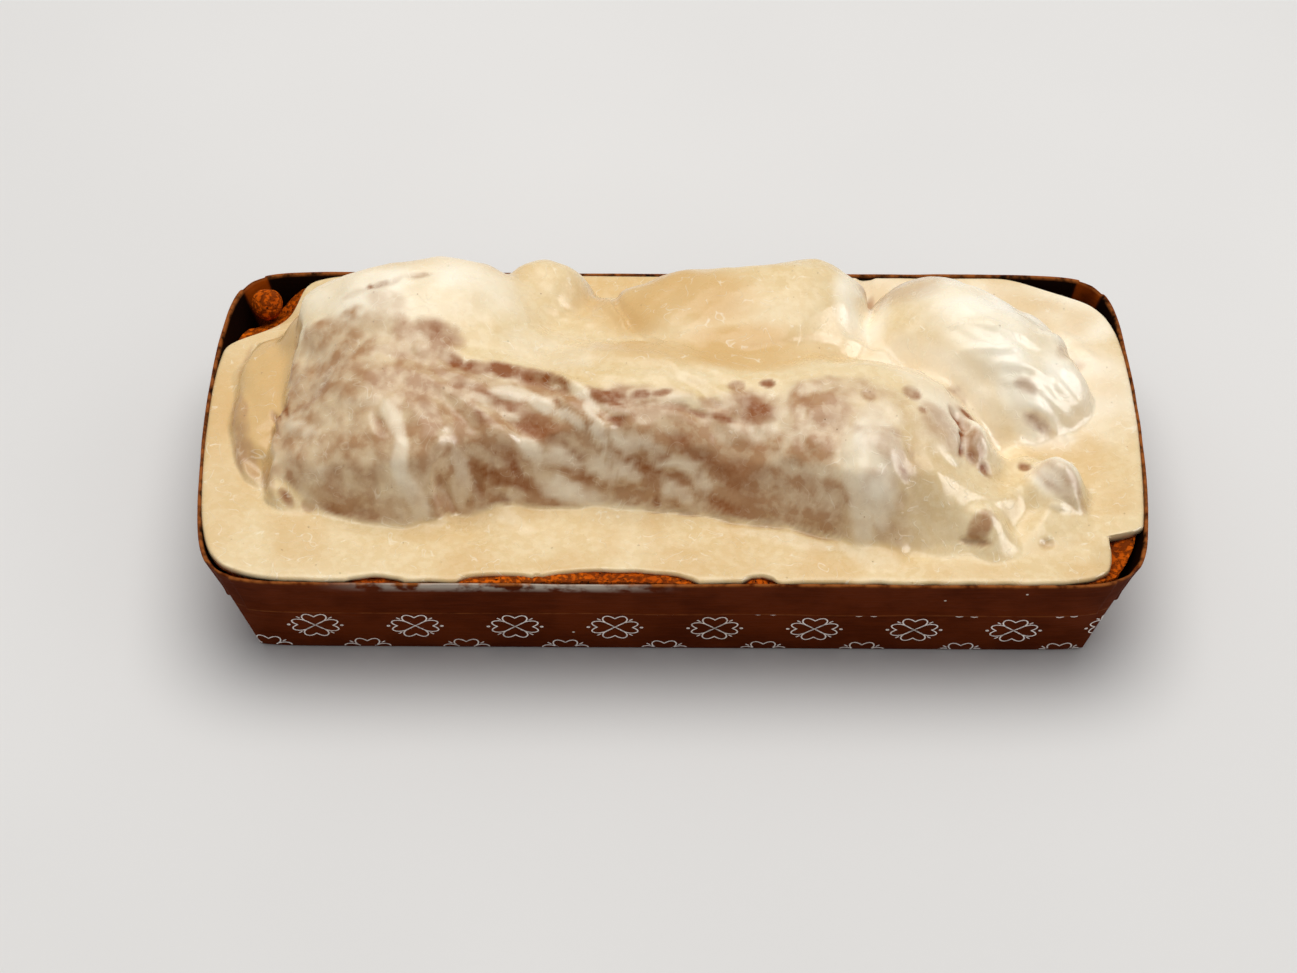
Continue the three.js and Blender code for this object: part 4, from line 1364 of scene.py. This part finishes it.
# %% Lay the sheets on the walls
def on_wall(points, side):
    """Takes points of a flat sheet (along, up, proud) to a wall: front, right, back or left."""
    along, up, proud = points.T
    height = up / WALL_SLOPE
    level = height / CASE_HEIGHT
    long_side = side in ("front", "back")
    way = 1 if side in ("front", "right") else -1
    inset = HEM_PROUD - 0.02 - proud
    sizes = (BASE_LENGTH, RIM_LENGTH) if long_side else (BASE_WIDTH, RIM_WIDTH)
    cut = blend(BASE_CORNER_CUT, RIM_CORNER_CUT, level)
    share = np.clip(along / (blend(*sizes, level) / 2 - cut), -1, 1)
    if long_side:
        x, y = case_point(way * share, -way * np.ones_like(share), level, inset, inset)
    else:
        x, y = case_point(way * np.ones_like(share), way * share, level, inset, inset)
    return uneven_wall(x, y, height)


def make_print():
    points, faces = [], []
    for side, half_length, shift in SHEETS:
        flat, flat_faces = print_sheet(half_length - RIM_CORNER_CUT, shift)
        first = sum(len(block) for block in points)
        points.append(on_wall(flat, side))
        faces += [[first + index for index in face] for face in flat_faces]
    return make_piece("case_print", np.concatenate(points), faces)


ink_lines = make_print()
bpy.data.objects.remove(clover)

# %% [markdown]
# ## Shared effects for the materials
# Soft blotches and small specks come back in several finishes, and the icing has hair-fine lines
# too. Each effect is a node group with named inputs, built once. A group only puts out a mask. The
# shader itself stays in the material, so that the finish can also be baked.


# %% Colours and groups
def colour(red, green, blue):
    """A colour as it is picked on a screen, 0 to 255, as the linear light that shaders work with."""
    shares = (red / 255, green / 255, blue / 255)
    linear = [s / 12.92 if s <= 0.04045 else ((s + 0.055) / 1.055) ** 2.4 for s in shares]
    return (*linear, 1.0)


def new_group(name, inputs, outputs):
    group = bpy.data.node_groups.new(name, "ShaderNodeTree")
    new_sockets(group, "INPUT", inputs)
    new_sockets(group, "OUTPUT", outputs)
    given = group.nodes.new("NodeGroupInput").outputs
    return group, given


def blotch_group():
    """A soft uneven mask: Size in millimetres, and the values where it starts and is full."""
    inputs = [
        ("Vector", "NodeSocketVector"),
        ("Size", "NodeSocketFloat", 10.0),
        ("From", "NodeSocketFloat", 0.4),
        ("To", "NodeSocketFloat", 0.6),
    ]
    group, given = new_group("soft_blotches", inputs, [("Mask", "NodeSocketFloat")])
    scale = sum_up(group, "DIVIDE", 1 / MM, given["Size"])
    settings = {"Vector": given["Vector"], "Scale": scale, "Detail": 3.0, "Roughness": 0.55}
    value = add(group, "ShaderNodeTexNoise", settings).outputs[0]
    spread = {"Value": value, "From Min": given["From"], "From Max": given["To"]}
    mask = add(group, "ShaderNodeMapRange", spread, interpolation_type="SMOOTHSTEP").outputs[0]
    add(group, "NodeGroupOutput", {"Mask": mask})
    return group


def speck_group():
    """Small round specks: their distance apart in millimetres, their radius as a share, how many."""
    inputs = [
        ("Vector", "NodeSocketVector"),
        ("Spacing", "NodeSocketFloat", 2.0),
        ("Radius", "NodeSocketFloat", 0.2),
        ("Share", "NodeSocketFloat", 0.5),
    ]
    group, given = new_group("specks", inputs, [("Mask", "NodeSocketFloat")])
    scale = sum_up(group, "DIVIDE", 1 / MM, given["Spacing"])
    cells = add(group, "ShaderNodeTexVoronoi", {"Vector": given["Vector"], "Scale": scale})
    pick = add(group, "ShaderNodeSeparateColor", {0: cells.outputs["Color"]}).outputs[0]
    chosen = sum_up(group, "LESS_THAN", pick, given["Share"])
    radius = sum_up(group, "MULTIPLY", given["Radius"], sum_up(group, "ADD", pick, 0.5))
    inner = sum_up(group, "MULTIPLY", radius, 0.5)
    spread = {"Value": cells.outputs["Distance"], "From Min": radius, "From Max": inner}
    spot = add(group, "ShaderNodeMapRange", spread, interpolation_type="SMOOTHSTEP").outputs[0]
    add(group, "NodeGroupOutput", {"Mask": sum_up(group, "MULTIPLY", spot, chosen)})
    return group


def hair_group():
    """Short curled hair lines, as a palette knife leaves them: where a noise crosses its mean."""
    inputs = [
        ("Vector", "NodeSocketVector"),
        ("Size", "NodeSocketFloat", 9.0),
        ("Width", "NodeSocketFloat", 0.02),
    ]
    group, given = new_group("hair_lines", inputs, [("Mask", "NodeSocketFloat")])
    scale = sum_up(group, "DIVIDE", 1 / MM, given["Size"])
    settings = {"Vector": given["Vector"], "Scale": scale, "Detail": 1.0, "Distortion": 0.8}
    value = add(group, "ShaderNodeTexNoise", settings).outputs[0]
    off_mean = sum_up(group, "ABSOLUTE", sum_up(group, "SUBTRACT", value, 0.5))
    spread = {"Value": off_mean, "From Min": given["Width"], "From Max": 0.0}
    line = add(group, "ShaderNodeMapRange", spread).outputs[0]
    patch_scale = sum_up(group, "MULTIPLY", scale, 1.7)
    patchy = {"Vector": given["Vector"], "Scale": patch_scale, "Detail": 0.0}
    cover = add(group, "ShaderNodeTexNoise", patchy).outputs[0]
    chosen = {"Value": cover, "From Min": 0.48, "From Max": 0.56}
    kept = add(group, "ShaderNodeMapRange", chosen).outputs[0]
    add(group, "NodeGroupOutput", {"Mask": sum_up(group, "MULTIPLY", line, kept)})
    return group


blotches = blotch_group()
specks = speck_group()
hairs = hair_group()
print("groups:", blotches.name, specks.name, hairs.name)


# %% Words for wiring a material
class Finish:
    """A material under construction: short words for the nodes that every finish here uses."""

    def __init__(self, name):
        self.material = bpy.data.materials.new(name)
        self.material.use_nodes = True
        self.tree = self.material.node_tree
        self.shader = self.tree.nodes["Principled BSDF"]
        self.place = self.add("ShaderNodeTexCoord").outputs["Object"]

    def add(self, kind, inputs=None, **settings):
        return add(self.tree, kind, inputs, **settings)

    def sum_up(self, operation, *values, clamp=False):
        return sum_up(self.tree, operation, *values, clamp=clamp)

    def stretched(self, x, y, z):
        scale = {"Vector": self.place, "Scale": (x, y, z)}
        return self.add("ShaderNodeMapping", scale).outputs[0]

    def use(self, group, **values):
        """A shared group. Its inputs are given by name, with _ for a space."""
        inputs = {"Vector": self.place}
        inputs.update({key.replace("_", " "): value for key, value in values.items()})
        node = self.tree.nodes.new("ShaderNodeGroup")
        node.node_tree = group
        for key, value in inputs.items():
            if isinstance(value, bpy.types.NodeSocket):
                self.tree.links.new(value, node.inputs[key])
            else:
                node.inputs[key].default_value = value
        return node.outputs[0]

    def attribute(self, name):
        return self.add("ShaderNodeAttribute", attribute_name=name).outputs["Fac"]

    def mix(self, share, first, second):
        node = self.add("ShaderNodeMix", {0: share, 6: first, 7: second}, data_type="RGBA")
        return node.outputs[2]

    def between(self, share, low, high):
        spread = {"Value": share, "To Min": low, "To Max": high}
        return self.add("ShaderNodeMapRange", spread).outputs[0]

    def bump(self, height, distance, strength=1.0, under=None):
        inputs = {"Height": height, "Distance": distance * MM, "Strength": strength}
        if under is not None:
            inputs["Normal"] = under
        return self.add("ShaderNodeBump", inputs).outputs[0]

    def finish(self, base_colour, roughness, normal, **constants):
        self.tree.links.new(base_colour, self.shader.inputs["Base Color"])
        self.tree.links.new(roughness, self.shader.inputs["Roughness"])
        self.tree.links.new(normal, self.shader.inputs["Normal"])
        for key, value in constants.items():
            self.shader.inputs[key.replace("_", " ")].default_value = value
        print("finish:", self.material.name)
        return self.material


# %% [markdown]
# ## Finish of the icing
# Set icing is smooth and a little waxy: light goes in and comes out again nearby. The four
# attributes of the coat steer its colour, between white and golden cream, and on to mauve-grey and
# rust; some of the white is painted highlight and some of the golden is painted shade. Over them lie
# soft blotches, tiny bubbles and brown specks of vanilla, and hair-fine swirls that the palette knife
# left, which are painted lighter as a highlight along them.


# %% The icing's material
def icing_finish():
    icing = Finish("pale_icing")
    thin, rust = icing.attribute("thin"), icing.attribute("rust")

    # The colour of thick icing.
    broad = icing.use(blotches, Size=34.0, From=0.35, To=0.65)
    small = icing.use(blotches, Size=3.6, From=0.36, To=0.64)
    strokes = icing.use(blotches, Size=2.2, From=0.42, To=0.62)
    pale = icing.mix(broad, colour(233, 209, 164), colour(226, 197, 145))
    pale = icing.mix(icing.sum_up("MULTIPLY", strokes, 0.25), pale, colour(249, 232, 196))
    # Whiter where the icing is fresh, and where a highlight is painted.
    whiter = icing.mix(icing.attribute("milky"), pale, colour(255, 245, 224))
    # Golden where the icing pooled, and as painted shade at the left end and before the right lobe.
    cream = icing.mix(icing.attribute("warm"), whiter, colour(217, 178, 118))

    # What shows through where it is thin: first the veiled crust, then bare rust.
    patchy = icing.sum_up("MULTIPLY", thin, icing.between(small, 0.75, 1.2), clamp=True)
    veiled = icing.mix(patchy, cream, colour(180, 138, 97))
    grainy = icing.use(blotches, Size=1.4, From=0.3, To=0.7)
    rusty = icing.sum_up("MULTIPLY", rust, icing.between(grainy, 1.0, 1.45), clamp=True)
    tinted = icing.mix(rusty, veiled, colour(140, 75, 9))

    # What lies in the icing and on it.
    vanilla = icing.use(specks, Spacing=5.0, Radius=0.07, Share=0.35)
    base_colour = icing.mix(icing.sum_up("MULTIPLY", vanilla, 0.6), tinted, colour(150, 95, 50))
    bubbles = icing.use(specks, Spacing=3.0, Radius=0.12, Share=0.3)
    curls = icing.use(hairs, Size=5.5, Width=0.014)
    curls = icing.sum_up("MULTIPLY", curls, icing.between(thin, 1.0, 0.25))
    # The swirls are painted lighter: a painted highlight along their ridges.
    combed_with_highlight = icing.mix(icing.sum_up("MULTIPLY", curls, 0.5), base_colour, colour(252, 240, 216))

    # Fine relief, and a shine that is duller where the icing is rusty.
    fine = icing.add(
        "ShaderNodeTexNoise", {"Vector": icing.place, "Scale": 420.0, "Detail": 4.0}
    ).outputs[0]
    fine_bump = icing.bump(fine, 0.12, 0.6, icing.bump(curls, 0.04, 1.0))
    normal = icing.bump(bubbles, 0.25, 0.9, fine_bump)
    duller = icing.sum_up("MULTIPLY", rusty, 0.35)
    roughness = icing.sum_up("ADD", icing.between(small, 0.2, 0.33), duller)
    return icing.finish(
        combed_with_highlight,
        roughness,
        normal,
        Subsurface_Weight=0.06,
        Subsurface_Radius=(1.0, 0.6, 0.35),
        Subsurface_Scale=0.0012,
        IOR=1.45,
    )


icing_coat.data.materials.append(icing_finish())

# %% [markdown]
# ## Finish of the crust
# Baked crust is matt and porous. Its colour runs from golden to dark brown, darkest in the pores
# and in fine cracks.


# %% The crust's material
def crust_finish():
    crust = Finish("baked_crust")
    broad = crust.use(blotches, Size=9.0, From=0.35, To=0.65)
    small = crust.use(blotches, Size=1.3, From=0.42, To=0.58)
    golden = crust.mix(broad, colour(214, 98, 6), colour(176, 72, 4))
    mottled = crust.mix(crust.sum_up("MULTIPLY", small, 0.75), golden, colour(84, 32, 4))
    pores = crust.use(specks, Spacing=1.5, Radius=0.26, Share=0.55)
    cracks = crust.add(
        "ShaderNodeTexVoronoi", {"Vector": crust.place, "Scale": 240.0}, feature="DISTANCE_TO_EDGE"
    ).outputs[0]
    crack = crust.add(
        "ShaderNodeMapRange", {"Value": cracks, "From Min": 0.06, "From Max": 0.0}
    ).outputs[0]
    dark = crust.sum_up("MAXIMUM", pores, crust.sum_up("MULTIPLY", crack, 0.3))
    base_colour = crust.mix(dark, mottled, colour(52, 22, 8))
    grain = crust.bump(small, 0.3, 0.8)
    normal = crust.bump(crust.sum_up("MULTIPLY", dark, -1), 0.5, 1.0, grain)
    return crust.finish(base_colour, crust.between(broad, 0.62, 0.85), normal, Specular_IOR_Level=0.04)


cake.data.materials.append(crust_finish())

# %% [markdown]
# ## Finishes of the paper and the ink
# The paper is dark brown and faintly glossy from fat and coating. Fibres run along it. Folds and
# raw edges are rubbed to a lighter orange brown. Fat has soaked the folded corners, which glow
# golden inside. Some icing has run over the front of the rim and dried there as a white film.


# %% The paper's material
def paper_finish():
    paper = Finish("brown_paper")
    worn, inside = paper.attribute("worn"), paper.attribute("inside")
    in_fold, smear = paper.attribute("corner"), paper.attribute("smear")
    broad = paper.use(blotches, Size=16.0, From=0.35, To=0.65)
    fibre = paper.use(blotches, Vector=paper.stretched(0.12, 0.5, 1.0), Size=1.1, From=0.35, To=0.7)
    outer = paper.mix(broad, colour(88, 32, 3), colour(72, 24, 2))
    outer = paper.mix(paper.sum_up("MULTIPLY", fibre, 0.3), outer, colour(98, 38, 8))
    soaked = paper.mix(broad, colour(150, 66, 4), colour(84, 30, 2))
    lining = paper.mix(in_fold, colour(18, 6, 2), soaked)
    sheet = paper.mix(inside, outer, lining)

    # Drops of icing outside, rubbed edges and the dried film.
    drops = paper.use(specks, Spacing=6.5, Radius=0.09, Share=0.25)
    outside = paper.sum_up("SUBTRACT", 1.0, inside)
    sheet = paper.mix(paper.sum_up("MULTIPLY", drops, outside), sheet, colour(214, 204, 192))
    rubbed = paper.use(blotches, Size=3.0, From=0.3, To=0.62)
    edge = paper.sum_up("MULTIPLY", worn, rubbed, clamp=True)
    edged = paper.mix(edge, sheet, colour(148, 84, 38))
    film = paper.use(blotches, Size=5.0, From=0.36, To=0.56)
    dried = paper.sum_up("MULTIPLY", smear, film, clamp=True)
    base_colour = paper.mix(paper.sum_up("MULTIPLY", dried, 0.85), edged, colour(186, 174, 160))
    ribs = paper.bump(fibre, 0.05, 0.7)
    normal = paper.bump(dried, 0.15, 0.8, ribs)
    return paper.finish(base_colour, paper.between(broad, 0.5, 0.65), normal, Specular_IOR_Level=0.02)


def ink_finish():
    ink = Finish("pale_ink")
    rubbed = ink.use(blotches, Size=1.6, From=0.52, To=0.75)
    faded = ink.use(blotches, Size=20.0, From=0.4, To=0.7)
    pale = ink.mix(faded, colour(252, 244, 238), colour(234, 222, 212))
    base_colour = ink.mix(ink.sum_up("MULTIPLY", rubbed, 0.4), pale, colour(112, 70, 48))
    return ink.finish(base_colour, ink.between(faded, 0.5, 0.65), ink.bump(rubbed, 0.02, 0.5))


case.data.materials.append(paper_finish())
ink_lines.data.materials.append(ink_finish())

# %% [markdown]
# ## Join the pieces to the frame
# Every piece rides on the one body of the loaf. The icing, the cake and the paper each take the
# place of their plain solid. The ink has no solid.

# %% Frame calls
SLOTS = [(icing_coat, "icing"), (cake, "crust"), (case, "case_paper"), (ink_lines, "case_paper")]
for piece, slot in SLOTS:
    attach(piece, "root")
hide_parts("icing")
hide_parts("cake")
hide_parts("paper_case")

# %% [markdown]
# ## Floor, light and camera
# A food picture like this one is lit by a large soft light from above and behind, with pale walls
# all round. So the light is a big area lamp, and the world fills the shadows. A second lamp at the
# right shows in reflections only, and gives the icing its wet sheen. The camera stands where the
# corners of the case fall into place as in the picture, so that the two can be compared.

# %% Floor
FLOOR_SIZE = 4000


def make_floor():
    half = FLOOR_SIZE / 2
    corners = np.array([[-half, -half, 0], [half, -half, 0], [half, half, 0], [-half, half, 0]])
    floor = make_piece("floor", corners, [[0, 1, 2, 3]])
    finish = Finish("pale_floor")
    tone = finish.use(blotches, Size=260.0, From=0.3, To=0.7)
    base_colour = finish.mix(tone, colour(224, 222, 220), colour(220, 218, 216))
    grain = finish.use(blotches, Size=4.0, From=0.3, To=0.7)
    rough = finish.between(grain, 0.7, 0.75)
    floor.data.materials.append(finish.finish(base_colour, rough, finish.bump(grain, 0.02, 0.2)))


make_floor()

# %% Lights
WORLD_LIGHT = 0.42


def look_along(direction, roll=0.0):
    """The turn of a lamp or camera that looks along a direction, upright but for a roll."""
    forward = direction / np.linalg.norm(direction)
    right = np.cross(forward, [0, 0, 1])
    right = right / np.linalg.norm(right)
    up = np.cross(right, forward)
    rolled_right = math.cos(roll) * right + math.sin(roll) * up
    rolled_up = math.cos(roll) * up - math.sin(roll) * right
    return Matrix(np.column_stack([rolled_right, rolled_up, -forward]).tolist())


def add_area_light(name, place, aim, size, power, tint, only_shine=False):
    """A round lamp. Its place, its aim and its size are in metres, and its power is in watts."""
    lamp = bpy.data.lights.new(name, "AREA")
    lamp.shape = "DISK"
    lamp.size = size
    lamp.energy = power
    lamp.color = tint
    holder = bpy.data.objects.new(name, lamp)
    holder.location = place
    direction = np.array(aim) - np.array(place)
    holder.rotation_euler = look_along(direction).to_euler()
    holder.visible_diffuse = not only_shine
    bpy.context.scene.collection.objects.link(holder)


add_area_light("key", (0.02, 0.2, 1.18), (0, 0, 0.03), 1.2, 11.5, (1.0, 0.985, 0.96))
add_area_light(
    "glint", (1.25, -0.3, 0.6), (0.05, 0, 0.04), 1.2, 29, (1.0, 0.99, 0.97), only_shine=True
)

world = bpy.data.worlds.new("pale_room")
world.use_nodes = True
world.node_tree.nodes["Background"].inputs["Color"].default_value = (0.96, 0.98, 1.0, 1.0)
world.node_tree.nodes["Background"].inputs["Strength"].default_value = WORLD_LIGHT
bpy.context.scene.world = world
bpy.context.scene.view_settings.view_transform = "Standard"
print("lights:", [lamp.name for lamp in bpy.data.lights])

# %% Camera
PICTURE_WIDTH = 1297
FOCAL_PIXELS = 3375  # the focal length, in picture pixels
SENSOR_WIDTH = 36.0
CAMERA_AIM = (-6.0, -22.9, 33.5)  # the place that the camera looks at
CAMERA_DISTANCE = 837
CAMERA_ELEVATION = 46  # in degrees, as the two below
CAMERA_AZIMUTH = -0.1
CAMERA_ROLL = 0.39


def add_camera():
    elevation, azimuth = math.radians(CAMERA_ELEVATION), math.radians(CAMERA_AZIMUTH)
    back = np.array([
        math.sin(azimuth) * math.cos(elevation),
        -math.cos(azimuth) * math.cos(elevation),
        math.sin(elevation),
    ])
    camera = bpy.data.objects.new("camera", bpy.data.cameras.new("camera"))
    camera.data.sensor_width = SENSOR_WIDTH
    camera.data.lens = FOCAL_PIXELS / PICTURE_WIDTH * SENSOR_WIDTH
    camera.data.clip_start = 0.01
    camera.location = (np.array(CAMERA_AIM) + CAMERA_DISTANCE * back) * MM
    camera.rotation_euler = look_along(-back, math.radians(CAMERA_ROLL)).to_euler()
    bpy.context.scene.collection.objects.link(camera)
    bpy.context.scene.camera = camera


add_camera()
print(f"lens {bpy.context.scene.camera.data.lens:.1f} mm")
